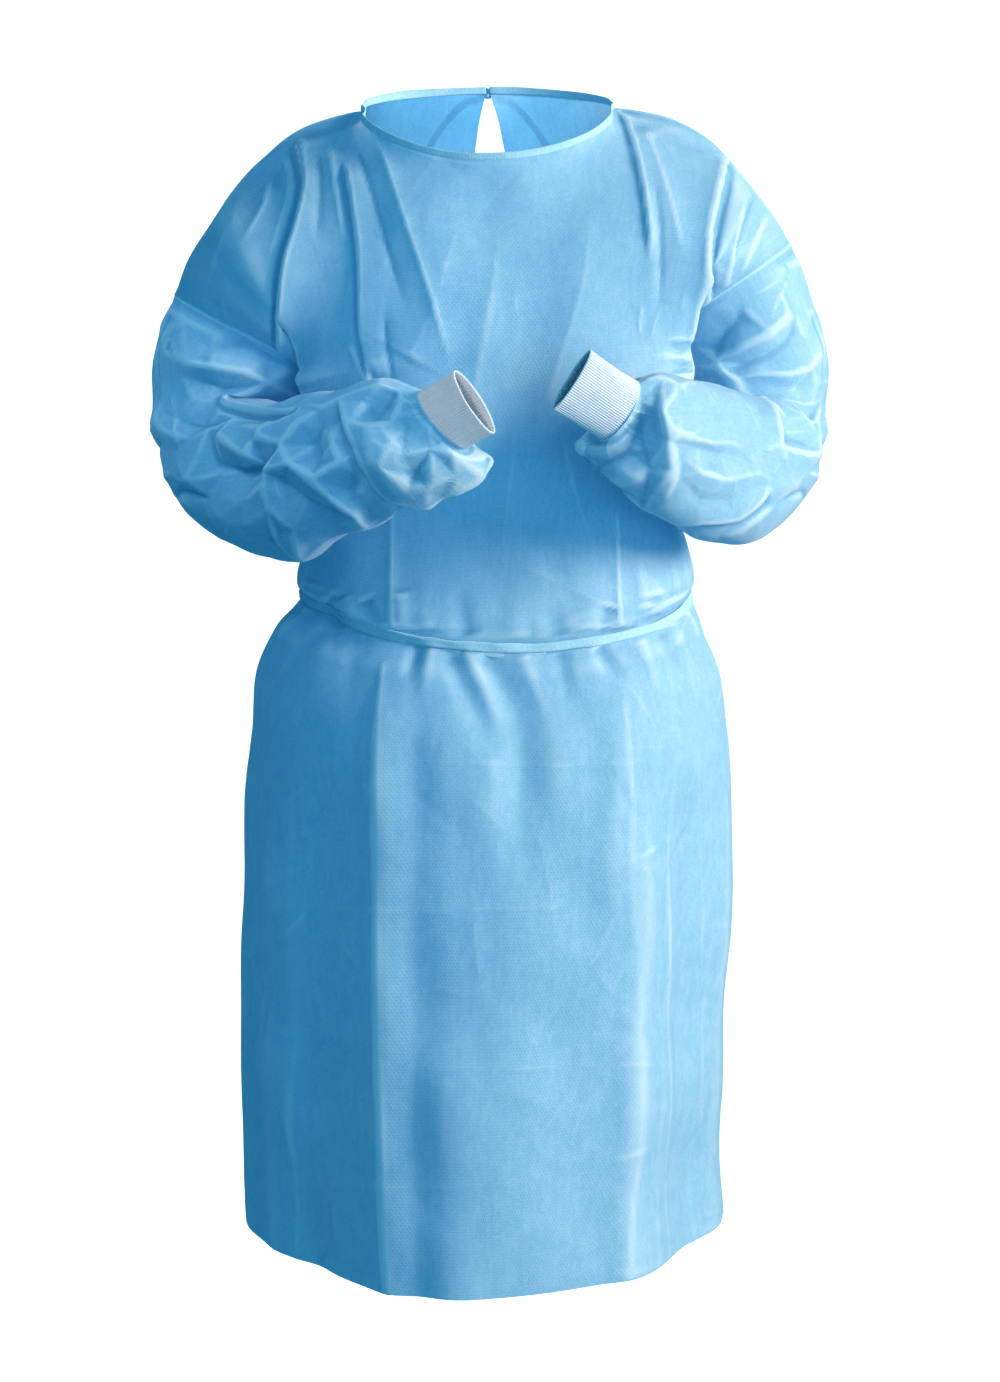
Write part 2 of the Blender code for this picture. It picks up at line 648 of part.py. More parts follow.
# ---------------------------------------------------------------- ties at the back
def tie(name, grid, normals, path, half, thick, lift):
    """A flat strip lying over a panel. path: row position, column position."""
    rows, cols = grid.shape[:2]
    pts, nrm = [], []
    for r, c in path:
        j, i = int(min(r, rows - 2)), int(min(c, cols - 2))
        fr, fc = r - j, c - i
        w = [((1 - fr) * (1 - fc), j, i), ((1 - fr) * fc, j, i + 1),
             (fr * (1 - fc), j + 1, i), (fr * fc, j + 1, i + 1)]
        p = sum(k * grid[a, b] for k, a, b in w)
        n = sum(k * normals[a, b] for k, a, b in w)
        n /= np.linalg.norm(n)
        pts.append(p + n * lift)
        nrm.append(n)
    sections = []
    for k in range(len(pts)):
        run = pts[min(k + 1, len(pts) - 1)] - pts[max(k - 1, 0)]
        run /= np.linalg.norm(run)
        n = nrm[k] - run * nrm[k].dot(run)
        n /= np.linalg.norm(n)
        side = np.cross(run, n)
        sections.append([
            pts[k] - side * half, pts[k] + side * half,
            pts[k] + side * half + n * thick, pts[k] - side * half + n * thick,
        ])
    bar(name, sections, False, BINDING_BLUE, 0.7)


TOP = len(BODY_ROWS) - 1 + YOKE_ROWS
# Neck tie: knot on the outside of the back neck, ends over the panels.
knot_y = 0.074 + 0.0100
knot("neck_knot", (0.0, knot_y, 0.0175), (0.0085, 0.0080, 0.0060), BINDING_BLUE, 0.7)
for side, grid, normals, name in (
    (1, back_left, n_back_left, "neck_tie_left"),
    (-1, back_right, n_back_right, "neck_tie_right"),
):
    path = [(TOP - 0.02, 0.28), (TOP - 0.45, 0.55), (TOP - 1.1, 0.85), (TOP - 2.0, 1.15), (TOP - 3.0, 1.40),
            (TOP - 4.0, 1.6), (TOP - 5.0, 1.7), (TOP - 6.0, 1.75)]
    tie(name, grid, normals, path, 0.0035, 0.0016, 0.0030)

# Waist tie: knot over the belt at the back, ends over the skirt.
belt_mid = 0.5 * (back_left[BELT_ROW, 0] + back_left[BELT_ROW + 1, 0])
knot("belt_knot", (0.0, belt_mid[1] + 0.0125, belt_mid[2]), (0.0130, 0.0085, 0.0095), BINDING_BLUE, 0.7)
for side, grid, normals, name in (
    (1, back_left, n_back_left, "belt_tie_left"),
    (-1, back_right, n_back_right, "belt_tie_right"),
):
    path = [(BELT_ROW - 0.15, 0.45), (BELT_ROW - 0.55, 0.62), (BELT_ROW - 1.0, 0.80), (BELT_ROW - 1.6, 1.0), (BELT_ROW - 2.3, 1.2),
            (BELT_ROW - 3.0, 1.3), (BELT_ROW - 3.6, 1.35), (BELT_ROW - 4.2, 1.4)]
    tie(name, grid, normals, path, 0.0040, 0.0016, 0.0030)
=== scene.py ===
"""Looks of the isolation gown, worn by nobody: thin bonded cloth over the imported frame,
with its creases, packing folds, gathers, seams, binding, belt, ties and knit cuffs."""
import json
import math

import bmesh
import bpy
import numpy as np
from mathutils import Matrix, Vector
from mathutils.geometry import delaunay_2d_cdt

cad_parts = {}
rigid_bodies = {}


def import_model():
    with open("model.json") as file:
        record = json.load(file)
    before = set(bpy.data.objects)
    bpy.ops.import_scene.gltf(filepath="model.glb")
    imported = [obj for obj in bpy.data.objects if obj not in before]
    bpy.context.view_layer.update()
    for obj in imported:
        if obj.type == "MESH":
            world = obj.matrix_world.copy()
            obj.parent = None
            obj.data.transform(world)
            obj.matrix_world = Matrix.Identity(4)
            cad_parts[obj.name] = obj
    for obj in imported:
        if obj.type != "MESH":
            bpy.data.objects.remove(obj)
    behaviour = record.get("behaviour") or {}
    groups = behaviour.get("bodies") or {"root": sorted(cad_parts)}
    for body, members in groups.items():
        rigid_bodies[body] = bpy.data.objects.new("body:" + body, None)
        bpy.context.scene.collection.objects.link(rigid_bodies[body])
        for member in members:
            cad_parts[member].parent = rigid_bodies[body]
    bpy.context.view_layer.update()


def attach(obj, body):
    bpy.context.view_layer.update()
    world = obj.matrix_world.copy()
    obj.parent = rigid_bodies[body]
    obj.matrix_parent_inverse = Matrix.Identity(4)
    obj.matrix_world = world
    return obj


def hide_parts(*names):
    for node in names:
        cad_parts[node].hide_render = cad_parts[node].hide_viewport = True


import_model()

FINE = 1.0    # cell size against the final one

# ---------------------------------------------------------------- camera
CAM_X, CAM_Y, CAM_Z = 0.012222689312807986, -2.588, -0.18560194716760658
CAM_TILT = math.radians(8.656304875326057)
FOCAL_PX = 2588.0

camera = bpy.data.objects.new("camera", bpy.data.cameras.new("camera"))
bpy.context.scene.collection.objects.link(camera)
camera.location = (CAM_X, CAM_Y, CAM_Z)
camera.rotation_euler = (math.pi / 2 - CAM_TILT, 0.0, 0.0)
camera.data.sensor_fit = "AUTO"
camera.data.sensor_width = 36.0
camera.data.lens = 36.0 * FOCAL_PX / 1382.0
camera.data.clip_end = 100.0
bpy.context.scene.camera = camera


def pixel_of(p):
    """Frame pixels (1000 x 1382) at which the camera sees the points p."""
    c, s = math.cos(CAM_TILT), math.sin(CAM_TILT)
    rx, ry, rz = p[..., 0] - CAM_X, p[..., 1] - CAM_Y, p[..., 2] - CAM_Z
    deep = ry * c - rz * s
    up = ry * s + rz * c
    return np.stack([500.0 + FOCAL_PX * rx / deep, 691.0 - FOCAL_PX * up / deep], axis=-1)


# ---------------------------------------------------------------- named sizes, as in the solids
HEM_Z = -1.130
WAIST_Z = -0.480
WAIST_SAG = 0.036
CHEST_Z = -0.250
COLS = 12
YOKE_ROWS = 10
NECK_COL = 5

# Body sections, one row per level.
# z, centre x, half width, front depth, back depth, squareness, side press, corner lip
BODY_ROWS = [
    (-0.250, 0.009, 0.2060, 0.134, 0.112, 3.1, 0.046, 0.022),
    (-0.290, 0.009, 0.1980, 0.130, 0.112, 2.9, 0.038, 0.018),
    (-0.330, 0.009, 0.1820, 0.124, 0.112, 2.4, 0.021, 0.004),
    (-0.370, 0.009, 0.1790, 0.1235, 0.110, 2.2, 0.012, 0.000),
    (-0.410, 0.009, 0.1860, 0.1275, 0.111, 2.2, 0.003, 0.000),
    (-0.445, 0.009, 0.1940, 0.1325, 0.114, 2.2, 0.000, 0.000),
    (-0.4755, 0.008, 0.1975, 0.137, 0.118, 2.2, 0.000, 0.000),
    (-0.4845, 0.008, 0.1975, 0.137, 0.118, 2.2, 0.000, 0.000),
    (-0.515, 0.001, 0.2130, 0.147, 0.128, 2.2, 0.000, 0.000),
    (-0.560, 0.000, 0.2330, 0.159, 0.140, 2.1, 0.000, 0.000),
    (-0.620, 0.001, 0.2410, 0.171, 0.151, 2.1, 0.000, 0.000),
    (-0.700, 0.000, 0.2470, 0.184, 0.163, 2.0, 0.000, 0.000),
    (-0.790, -0.001, 0.2490, 0.196, 0.174, 2.0, 0.000, 0.000),
    (-0.880, -0.004, 0.2490, 0.207, 0.182, 1.9, 0.000, 0.000),
    (-0.970, -0.006, 0.2480, 0.217, 0.190, 1.9, 0.000, 0.000),
    (-1.060, -0.006, 0.2480, 0.226, 0.196, 1.8, 0.000, 0.000),
    (-1.130, -0.004, 0.2480, 0.233, 0.200, 1.8, 0.000, 0.000),
]

# Gap between the two back edges: z, half gap.
BACK_GAP = [
    (0.030, 0.0015), (0.000, 0.0075), (-0.060, 0.0190), (-0.140, 0.0300),
    (-0.240, 0.0330), (-0.340, 0.0240), (-0.430, 0.0080), (-0.480, 0.0030),
    (-0.560, 0.0060), (-0.750, 0.0110), (-1.130, 0.0150),
]

# Shoulder ridges from the neck point outwards: x, z.
RIDGE_LEFT = [
    (0.1240, -0.0045), (0.1600, -0.0080), (0.1864, -0.0160), (0.2180, -0.0345),
    (0.2368, -0.0528), (0.2538, -0.0720), (0.2698, -0.0913), (0.2839, -0.1107),
    (0.2980, -0.1340),
]
RIDGE_RIGHT = [
    (-0.1240, -0.0060), (-0.1600, -0.0150), (-0.2014, -0.0345), (-0.2222, -0.0528),
    (-0.2382, -0.0720), (-0.2542, -0.0913), (-0.2683, -0.1107), (-0.2814, -0.1301),
    (-0.2946, -0.1500), (-0.3090, -0.1827),
]
# Underarm points where side seam, armhole and sleeve meet: x, z.
UNDERARM_LEFT = (0.1710, -0.2180)
UNDERARM_RIGHT = (-0.1530, -0.2640)
ARMHOLE_DEPTH = 0.074

# Sleeve centre lines and sections from the armhole to the cuff seam.
# x, y, z, up x, up y, up z, half size along up, half size across
SLEEVE_RIGHT_ROWS = [
    (-0.2480, 0.002, -0.2620, 0.0, -1.0, 0.05, 0.072, 0.0810),
    (-0.2560, -0.002, -0.2960, 0.0, -0.97, 0.25, 0.070, 0.0765),
    (-0.2580, -0.019, -0.3290, 0.0, -0.75, 0.66, 0.070, 0.0720),
    (-0.2450, -0.052, -0.3520, 0.0, -0.40, 0.92, 0.072, 0.0620),
    (-0.2100, -0.096, -0.3590, 0.0, -0.05, 1.00, 0.074, 0.0540),
    (-0.1700, -0.138, -0.3490, 0.0, 0.00, 1.00, 0.071, 0.0480),
    (-0.1280, -0.178, -0.3350, 0.0, 0.00, 1.00, 0.065, 0.0440),
    (-0.0900, -0.206, -0.3230, -0.1, 0.00, 1.00, 0.061, 0.0400),
    (-0.0620, -0.223, -0.3150, -0.3, 0.00, 0.95, 0.057, 0.0350),
    (-0.0470, -0.233, -0.3040, -0.5, 0.00, 0.85, 0.043, 0.0240),
    (-0.0390, -0.240, -0.2960, -0.54, 0.00, 0.84, 0.034, 0.0150),
]
CUFF_RIGHT_ROWS = [
    (-0.0390, -0.240, -0.2960, -0.54, 0.00, 0.84, 0.034, 0.0150),
    (-0.0300, -0.254, -0.2900, -0.54, 0.00, 0.84, 0.0325, 0.0130),
    (-0.0200, -0.269, -0.2835, -0.54, 0.00, 0.84, 0.0325, 0.0105),
    (-0.0108, -0.283, -0.2777, -0.54, 0.00, 0.84, 0.0330, 0.0090),
]
SLEEVE_LEFT_ROWS = [
    (0.2540, 0.002, -0.2200, 0.0, -1.0, 0.05, 0.073, 0.0740),
    (0.2615, 0.005, -0.2620, 0.0, -0.99, 0.15, 0.073, 0.0765),
    (0.2635, 0.000, -0.3060, 0.0, -0.90, 0.40, 0.071, 0.0740),
    (0.2600, -0.027, -0.3390, 0.0, -0.70, 0.70, 0.071, 0.0700),
    (0.2470, -0.065, -0.3510, 0.0, -0.30, 0.95, 0.072, 0.0620),
    (0.2220, -0.108, -0.3440, 0.0, 0.00, 1.00, 0.072, 0.0530),
    (0.1930, -0.146, -0.3310, 0.0, 0.00, 1.00, 0.070, 0.0480),
    (0.1660, -0.184, -0.3160, 0.1, 0.00, 1.00, 0.064, 0.0440),
    (0.1440, -0.208, -0.3020, 0.3, 0.00, 0.95, 0.055, 0.0370),
    (0.1290, -0.224, -0.2920, 0.55, 0.00, 0.84, 0.041, 0.0230),
    (0.1200, -0.233, -0.2870, 0.62, 0.00, 0.78, 0.0305, 0.0150),
]
CUFF_LEFT_ROWS = [
    (0.1200, -0.233, -0.2870, 0.62, 0.00, 0.78, 0.0305, 0.0150),
    (0.1060, -0.244, -0.2785, 0.58, 0.00, 0.82, 0.0300, 0.0125),
    (0.0910, -0.256, -0.2685, 0.54, 0.00, 0.84, 0.0305, 0.0100),
    (0.0764, -0.267, -0.2588, 0.50, 0.00, 0.86, 0.0315, 0.0080),
]
SLEEVE_STEPS = 17      # rows of quads from the armhole to the cuff seam

# Folds of the skirt and chest, seen from the front.
# x top, z top, x bottom, z bottom, half width, height (+ ridge, - trough)
FRONT_FOLDS = [
    (-0.096, -0.530, -0.096, -1.130, 0.030, 0.009),
    (-0.165, -0.620, -0.176, -1.130, 0.045, -0.011),
    (0.130, -0.530, 0.140, -1.130, 0.028, 0.005),
    (0.195, -0.640, 0.203, -1.130, 0.045, -0.015),
    (0.020, -0.520, 0.045, -0.760, 0.035, -0.009),
    (-0.045, -0.520, -0.035, -0.640, 0.022, 0.005),
    (0.090, -0.500, 0.080, -0.620, 0.024, 0.005),
]
BACK_FOLDS = [
    (-0.100, -0.520, -0.110, -1.130, 0.035, 0.009),
    (0.100, -0.520, 0.110, -1.130, 0.035, 0.009),
    (-0.060, -0.520, -0.065, -0.800, 0.025, -0.008),
    (0.060, -0.520, 0.065, -0.800, 0.025, -0.008),
    (-0.170, -0.560, -0.180, -1.130, 0.040, -0.009),
    (0.170, -0.560, 0.180, -1.130, 0.040, -0.009),
]
# Folds of the yoke: column share, half width, depth, row share from, row share to
YOKE_FOLDS = [
    (0.80, 0.120, 0.012, -0.20, 0.62),
]


# ---------------------------------------------------------------- small helpers
def lerp_table(x, rows, col):
    xs = np.array([row[0] for row in rows])
    ys = np.array([row[col] for row in rows])
    order = np.argsort(xs)
    return np.interp(x, xs[order], ys[order])


def smooth(x, a, b):
    t = np.clip((np.asarray(x, float) - a) / (b - a), 0.0, 1.0)
    return t * t * (3.0 - 2.0 * t)


def bump(x, centre, half):
    t = np.clip(np.abs(np.asarray(x, float) - centre) / half, 0.0, 1.0)
    return (1.0 - t * t) ** 2


def along(points, share):
    """Points at the given shares of a polyline's length, on a Catmull-Rom curve."""
    points = np.array(points, float)
    seg = np.linalg.norm(np.diff(points, axis=0), axis=1)
    knots = np.concatenate([[0.0], np.cumsum(seg)]) / seg.sum()
    out = []
    for s in np.atleast_1d(share):
        i = int(np.clip(np.searchsorted(knots, s, side="right") - 1, 0, len(points) - 2))
        t = (s - knots[i]) / (knots[i + 1] - knots[i])
        p0 = points[max(i - 1, 0)]
        p1, p2 = points[i], points[i + 1]
        p3 = points[min(i + 2, len(points) - 1)]
        out.append(
            0.5
            * (
                2 * p1
                + (p2 - p0) * t
                + (2 * p0 - 5 * p1 + 4 * p2 - p3) * t**2
                + (3 * p1 - p0 - 3 * p2 + p3) * t**3
            )
        )
    return np.array(out)


# ---------------------------------------------------------------- body surface
def half_gap(z):
    return lerp_table(z, BACK_GAP, 1)


def side_sizes(side):
    if side > 0:
        return RIDGE_LEFT, UNDERARM_LEFT
    return RIDGE_RIGHT, UNDERARM_RIGHT


def level_point(row, u, side, front):
    """One point of a body section: u runs from the centre line (0) to the side (1)."""
    z0, cx, a, bf, bb, p, press, lip = row
    phi = 0.5 * math.pi * u
    e = 2.0 / p
    b = bf if front else bb
    x = a * math.sin(phi) ** e - press * float(smooth(u, 0.66, 0.95))
    y = b * max(math.cos(phi), 0.0) ** e
    if front:
        x += lip * float(bump(u, 0.64, 0.17))
    _, (ux, uz) = side_sizes(side)
    sag = WAIST_SAG * float(bump(z0, WAIST_Z, 0.22)) * math.cos(phi) ** 2
    if not front:
        sag *= 0.25
    lift = (uz - CHEST_Z) * float(smooth(u, 0.45, 1.0)) * float(smooth(z0, -0.40, CHEST_Z))
    z = z0 - sag + lift
    px = cx + side * x
    if row is BODY_ROWS[0]:
        px += (ux - (cx + side * (a - press))) * float(smooth(u, 0.75, 1.0))
    if not front:
        px += side * float(half_gap(z)) * (1.0 - u) ** 2
    return np.array([px, -y if front else y, z])


def neck_point(u, side, front):
    """Neck edge: u = 0 at the centre line, 1 at the shoulder neck point."""
    ridge, _ = side_sizes(side)
    nx, nz = ridge[0]
    c, s = math.cos(0.5 * math.pi * u), math.sin(0.5 * math.pi * u)
    if front:
        return np.array([nx * s, -0.094 * c, nz + (-0.0575 - nz) * c**1.15])
    gap = side * 0.0018
    return np.array([gap + (nx - gap) * s, 0.074 * c, nz + (0.0165 - nz) * c])


def top_point(u, side, front):
    ridge, _ = side_sizes(side)
    share = NECK_COL / COLS
    if u <= share + 1e-9:
        return neck_point(min(u / share, 1.0), side, front)
    line = [(x, 0.0, z) for x, z in ridge]
    return along(line, (u - share) / (1.0 - share))[0]


def armhole_point(v, side, front):
    """Half of the armhole loop, from the underarm (0) to the shoulder (1)."""
    ridge, (ux, uz) = side_sizes(side)
    low = np.array([ux, 0.0, uz])
    high = np.array([ridge[-1][0], 0.0, ridge[-1][1]])
    mid = 0.5 * (low + high)
    beta = math.pi * v
    out = np.array([0.0, -1.0 if front else 1.0, 0.0])
    return mid + (low - mid) * math.cos(beta) + out * ARMHOLE_DEPTH * math.sin(beta)


def centre_point(v, side, front):
    low = level_point(BODY_ROWS[0], 0.0, side, front)
    high = neck_point(0.0, side, front)
    p = low + (high - low) * v
    if front:
        p[1] -= 0.010 * math.sin(math.pi * v)
    else:
        p[1] += 0.022 * math.sin(math.pi * v) * (1.0 - 0.3 * v)
        p[0] = side * float(half_gap(p[2]))
        if v >= 1.0:
            p[0] = side * 0.0018
    return p


def yoke_point(u, v, side, front):
    """Surface between the chest row, the neck and shoulder line, the centre and the armhole."""
    h = float(smooth(u, 0.0, 1.0))
    bottom = level_point(BODY_ROWS[0], u, side, front)
    top = top_point(u, side, front)
    left = centre_point(v, side, front)
    right = armhole_point(v, side, front)
    l0, l1 = centre_point(0.0, side, front), centre_point(1.0, side, front)
    r0, r1 = armhole_point(0.0, side, front), armhole_point(1.0, side, front)
    p = (1 - v) * bottom + v * top
    p = p + (1 - h) * (left - (1 - v) * l0 - v * l1)
    p = p + h * (right - (1 - v) * r0 - v * r1)
    sign = -1.0 if front else 1.0
    if front:
        for at, half, depth, v0, v1 in YOKE_FOLDS:
            fade = float(1.0 - smooth(v, v0 + 0.35, v1)) * float(smooth(v, v0, v0 + 0.25))
            p[1] += depth * float(bump(u, at, half)) * fade
    full = math.sin(math.pi * v) * (1.0 - u) * u * 4.0
    p[1] += sign * 0.006 * full
    return p


def apply_folds(p, folds, sign):
    amount = 0.0
    for xt, zt, xb, zb, half, height in folds:
        if p[2] > zt + 0.05 or p[2] < zb - 0.01:
            continue
        t = np.clip((zt - p[2]) / (zt - zb), 0.0, 1.0)
        x = xt + (xb - xt) * t
        fade_low = 1.0 if zb <= HEM_Z + 0.01 else float(1.0 - smooth(-p[2], -zb - 0.12, -zb))
        grow = float(smooth(-p[2], -zt - 0.015, -zt + 0.10))
        amount += height * float(bump(p[0], x, half)) * fade_low * grow
    direction = np.array([p[0] * 0.9, p[1], 0.0])
    direction /= np.linalg.norm(direction) + 1e-9
    return p + direction * amount


def body_half(side, front):
    """Rows from the hem up to the neck and shoulder line, columns from the centre to the side."""
    grid = []
    for row in reversed(BODY_ROWS[1:]):
        line = [level_point(row, i / COLS, side, front) for i in range(COLS + 1)]
        folds = FRONT_FOLDS if front else BACK_FOLDS
        grid.append([apply_folds(p, folds, -1 if front else 1) for p in line])
    for j in range(YOKE_ROWS + 1):
        v = j / YOKE_ROWS
        grid.append([yoke_point(i / COLS, v, side, front) for i in range(COLS + 1)])
    grid = np.array(grid)
    # Ease the change of direction where the yoke rests on the chest row.
    k = len(BODY_ROWS) - 1
    for _ in range(2):
        eased = grid.copy()
        for j in range(k - 2, k + 3):
            eased[j, 1:-1] = 0.5 * grid[j, 1:-1] + 0.25 * (grid[j - 1, 1:-1] + grid[j + 1, 1:-1])
        eased[:, 0] = grid[:, 0]
        grid = eased
    for _ in range(3):
        eased = grid.copy()
        for j in range(k - 1, k + 7):
            for i in range(7, COLS):
                w = 0.5 * float(bump(j, k + 1.5, 5.5))
                near = 0.25 * (grid[j, i - 1] + grid[j, i + 1] + grid[j - 1, i] + grid[j + 1, i])
                eased[j, i] = (1 - w) * grid[j, i] + w * near
        grid = eased
    # Spread the corner at the shoulder neck point over the columns beside it.
    for _ in range(14):
        eased = grid.copy()
        for j in range(k + 1, len(grid) - 1):
            for i in range(1, 9):
                w = 0.5 * float(bump(i, NECK_COL + 0.5, 4.5))
                eased[j, i] = (1 - w) * grid[j, i] + 0.5 * w * (grid[j, i - 1] + grid[j, i + 1])
        grid = eased
    return grid


# ---------------------------------------------------------------- sleeve surface
def ring_points(row, tangent, side, count):
    x, y, z, ux, uy, uz, half_up, half_across = row
    centre = np.array([x, y, z])
    up = np.array([ux, uy, uz], float)
    up -= tangent * up.dot(tangent)
    up /= np.linalg.norm(up)
    inner = np.cross(up, tangent) if side < 0 else np.cross(tangent, up)
    out = []
    for k in range(count):
        a = 2 * math.pi * k / count
        out.append(centre + inner * half_across * math.cos(a) + up * half_up * math.sin(a))
    return np.array(out)


def tangents(rows, before=None):
    c = np.array([row[:3] for row in rows], float)
    if before is not None:
        c = np.vstack([before, c])
    t = np.gradient(c, axis=0)
    t /= np.linalg.norm(t, axis=1)[:, None]
    return t[1:] if before is not None else t


def sleeve_grid(side):
    """Rows from the armhole to the cuff seam, points round the sleeve."""
    count = 2 * YOKE_ROWS
    rows = SLEEVE_LEFT_ROWS if side > 0 else SLEEVE_RIGHT_ROWS
    first = [armhole_point(j / YOKE_ROWS, side, True) for j in range(YOKE_ROWS + 1)]
    first += [armhole_point(1 - j / YOKE_ROWS, side, False) for j in range(1, YOKE_ROWS)]
    first = np.array(first)
    ts = tangents(rows, first.mean(axis=0))
    rings = [first] + [ring_points(r, t, side, count) for r, t in zip(rows, ts)]
    rings = np.array(rings)
    share = np.linspace(0.0, 1.0, SLEEVE_STEPS + 1)
    mid = rings.mean(axis=1)
    seg = np.linalg.norm(np.diff(mid, axis=0), axis=1)
    knots = np.concatenate([[0.0], np.cumsum(seg)]) / seg.sum()
    out = np.empty((SLEEVE_STEPS + 1, count, 3))
    for n, s in enumerate(share):
        i = int(np.clip(np.searchsorted(knots, s, side="right") - 1, 0, len(rings) - 2))
        t = (s - knots[i]) / (knots[i + 1] - knots[i])
        p0, p1 = rings[max(i - 1, 0)], rings[i]
        p2, p3 = rings[i + 1], rings[min(i + 2, len(rings) - 1)]
        out[n] = 0.5 * (
            2 * p1
            + (p2 - p0) * t
            + (2 * p0 - 5 * p1 + 4 * p2 - p3) * t**2
            + (3 * p1 - p0 - 3 * p2 + p3) * t**3
        )
    return out


def cuff_grid(side, count):
    rows = CUFF_LEFT_ROWS if side > 0 else CUFF_RIGHT_ROWS
    sleeve = SLEEVE_LEFT_ROWS if side > 0 else SLEEVE_RIGHT_ROWS
    ts = tangents(rows, np.array(sleeve[-2][:3]))
    ts[0] = tangents(sleeve)[-1]
    return np.array([ring_points(r, t, side, count) for r, t in zip(rows, ts)])


# ---------------------------------------------------------------- fine surfaces
def cubic_weights(knots, places):
    """Weights that carry values at the knots to the places, on a smooth cubic."""
    knots = np.asarray(knots, float)
    n = len(knots)
    slope = np.zeros((n, n))
    for k in range(n):
        if k in (0, n - 1):
            a, b = (0, 1) if k == 0 else (n - 2, n - 1)
            h = knots[b] - knots[a]
            slope[k, a], slope[k, b] = -1.0 / h, 1.0 / h
        else:
            h0, h1 = knots[k] - knots[k - 1], knots[k + 1] - knots[k]
            slope[k, k - 1] = -h1 / (h0 * (h0 + h1))
            slope[k, k] = (h1 - h0) / (h0 * h1)
            slope[k, k + 1] = h0 / (h1 * (h0 + h1))
    out = np.zeros((len(places), n))
    for r, x in enumerate(places):
        k = int(np.clip(np.searchsorted(knots, x, side="right") - 1, 0, n - 2))
        h = knots[k + 1] - knots[k]
        t = (x - knots[k]) / h
        out[r, k] += 2 * t**3 - 3 * t**2 + 1
        out[r, k + 1] += 3 * t**2 - 2 * t**3
        out[r] += h * ((t**3 - 2 * t**2 + t) * slope[k] + (t**3 - t**2) * slope[k + 1])
    return out


def loop_weights(knots, places):
    """The same round a loop. knots has one more value than the loop has points."""
    knots = np.asarray(knots, float)
    n = len(knots) - 1
    index = np.arange(-3, n + 4)
    wide = knots[index % n] + (knots[-1] - knots[0]) * (index // n)
    w = cubic_weights(wide, places)
    out = np.zeros((len(places), n))
    for c, i in enumerate(index):
        out[:, i % n] += w[:, c]
    return out


def spread(a, b, step):
    return np.linspace(a, b, max(2, int(round((b - a) / (step * FINE))) + 1))


front_left, front_right = body_half(1, True), body_half(-1, True)
back_left, back_right = body_half(1, False), body_half(-1, False)
halves = (front_left, front_right, back_left, back_right)
K = len(BODY_ROWS) - 1                       # coarse row at the underarm
ROW = np.concatenate([[0.0], np.cumsum(np.mean(
    [np.linalg.norm(np.diff(g, axis=0), axis=2).mean(axis=1) for g in halves], axis=0))])
COL = np.concatenate([[0.0], np.cumsum(np.mean(
    [np.linalg.norm(np.diff(g, axis=1), axis=2).mean(axis=0) for g in halves], axis=0))])
row_low = spread(ROW[0], ROW[K], 0.0031)
row_high = spread(ROW[K], ROW[-1], 0.0031)
rows_at = np.concatenate([row_low, row_high[1:]])
FK = len(row_low) - 1                        # fine row at the underarm
col_in = spread(COL[0], COL[NECK_COL], 0.0030)
col_out = spread(COL[NECK_COL], COL[-1], 0.0030)
cols_at = np.concatenate([col_in, col_out[1:]])
FN = len(col_in) - 1                         # fine column at the shoulder neck point
BELT_ROW = K - 7
belt_at = 0.5 * (ROW[BELT_ROW] + ROW[BELT_ROW + 1])

WR = cubic_weights(ROW, rows_at)
WC = cubic_weights(COL, cols_at)
WF = cubic_weights(np.concatenate([-COL[:0:-1], COL]), np.concatenate([-cols_at[:0:-1], cols_at]))


def carry(wr, grid, wc):
    return np.einsum("ri,ijk,cj->rck", wr, grid, wc, optimize=True)


F = carry(WR, np.concatenate([front_right[:, ::-1], front_left[:, 1:]], axis=1), WF)
BL, BR = carry(WR, back_left, WC), carry(WR, back_right, WC)
mid = len(cols_at) - 1                       # fine centre column of the front
# The back meets the front along the side seam and the shoulder seam.
for grid, edge, top in ((BL, F[:, -1], F[-1, mid:]), (BR, F[:, 0], F[-1, mid::-1])):
    reach = 14
    off = edge - grid[:, -1]
    for c in range(reach):
        grid[:, -1 - c] += off * (1.0 - c / reach) ** 2
    off = top[FN:] - grid[-1, FN:]
    for r in range(reach):
        grid[-1 - r, FN:] += off * (1.0 - r / reach) ** 2

yoke = row_high - row_high[0]
half_round = ROW[K:] - ROW[K]
around = np.concatenate([half_round, half_round[-1] + (half_round[-1] - half_round[-2::-1])])
around_at = np.concatenate([yoke, yoke[-1] + (yoke[-1] - yoke[-2:0:-1])])


def fine_sleeve(side):
    coarse = sleeve_grid(side)
    cuff = cuff_grid(side, 2 * YOKE_ROWS)
    coarse[-1] = cuff[0]
    knots = np.concatenate([[0.0], np.cumsum(np.linalg.norm(np.diff(coarse, axis=0), axis=2).mean(axis=1))])
    places = spread(0.0, knots[-1], 0.0026)
    grid = carry(cubic_weights(knots, places), coarse, loop_weights(around, around_at))
    front_edge = F[FK:, -1] if side > 0 else F[FK:, 0]
    back_edge = (BL if side > 0 else BR)[FK:, -1]
    ring = np.concatenate([front_edge, back_edge[-2:0:-1]])
    off = ring - grid[0]
    for r in range(16):
        grid[r] += off * (1.0 - r / 16.0) ** 2
    return grid, places


SL, sl_at = fine_sleeve(1)
SR, sr_at = fine_sleeve(-1)
AROUND = len(around_at)


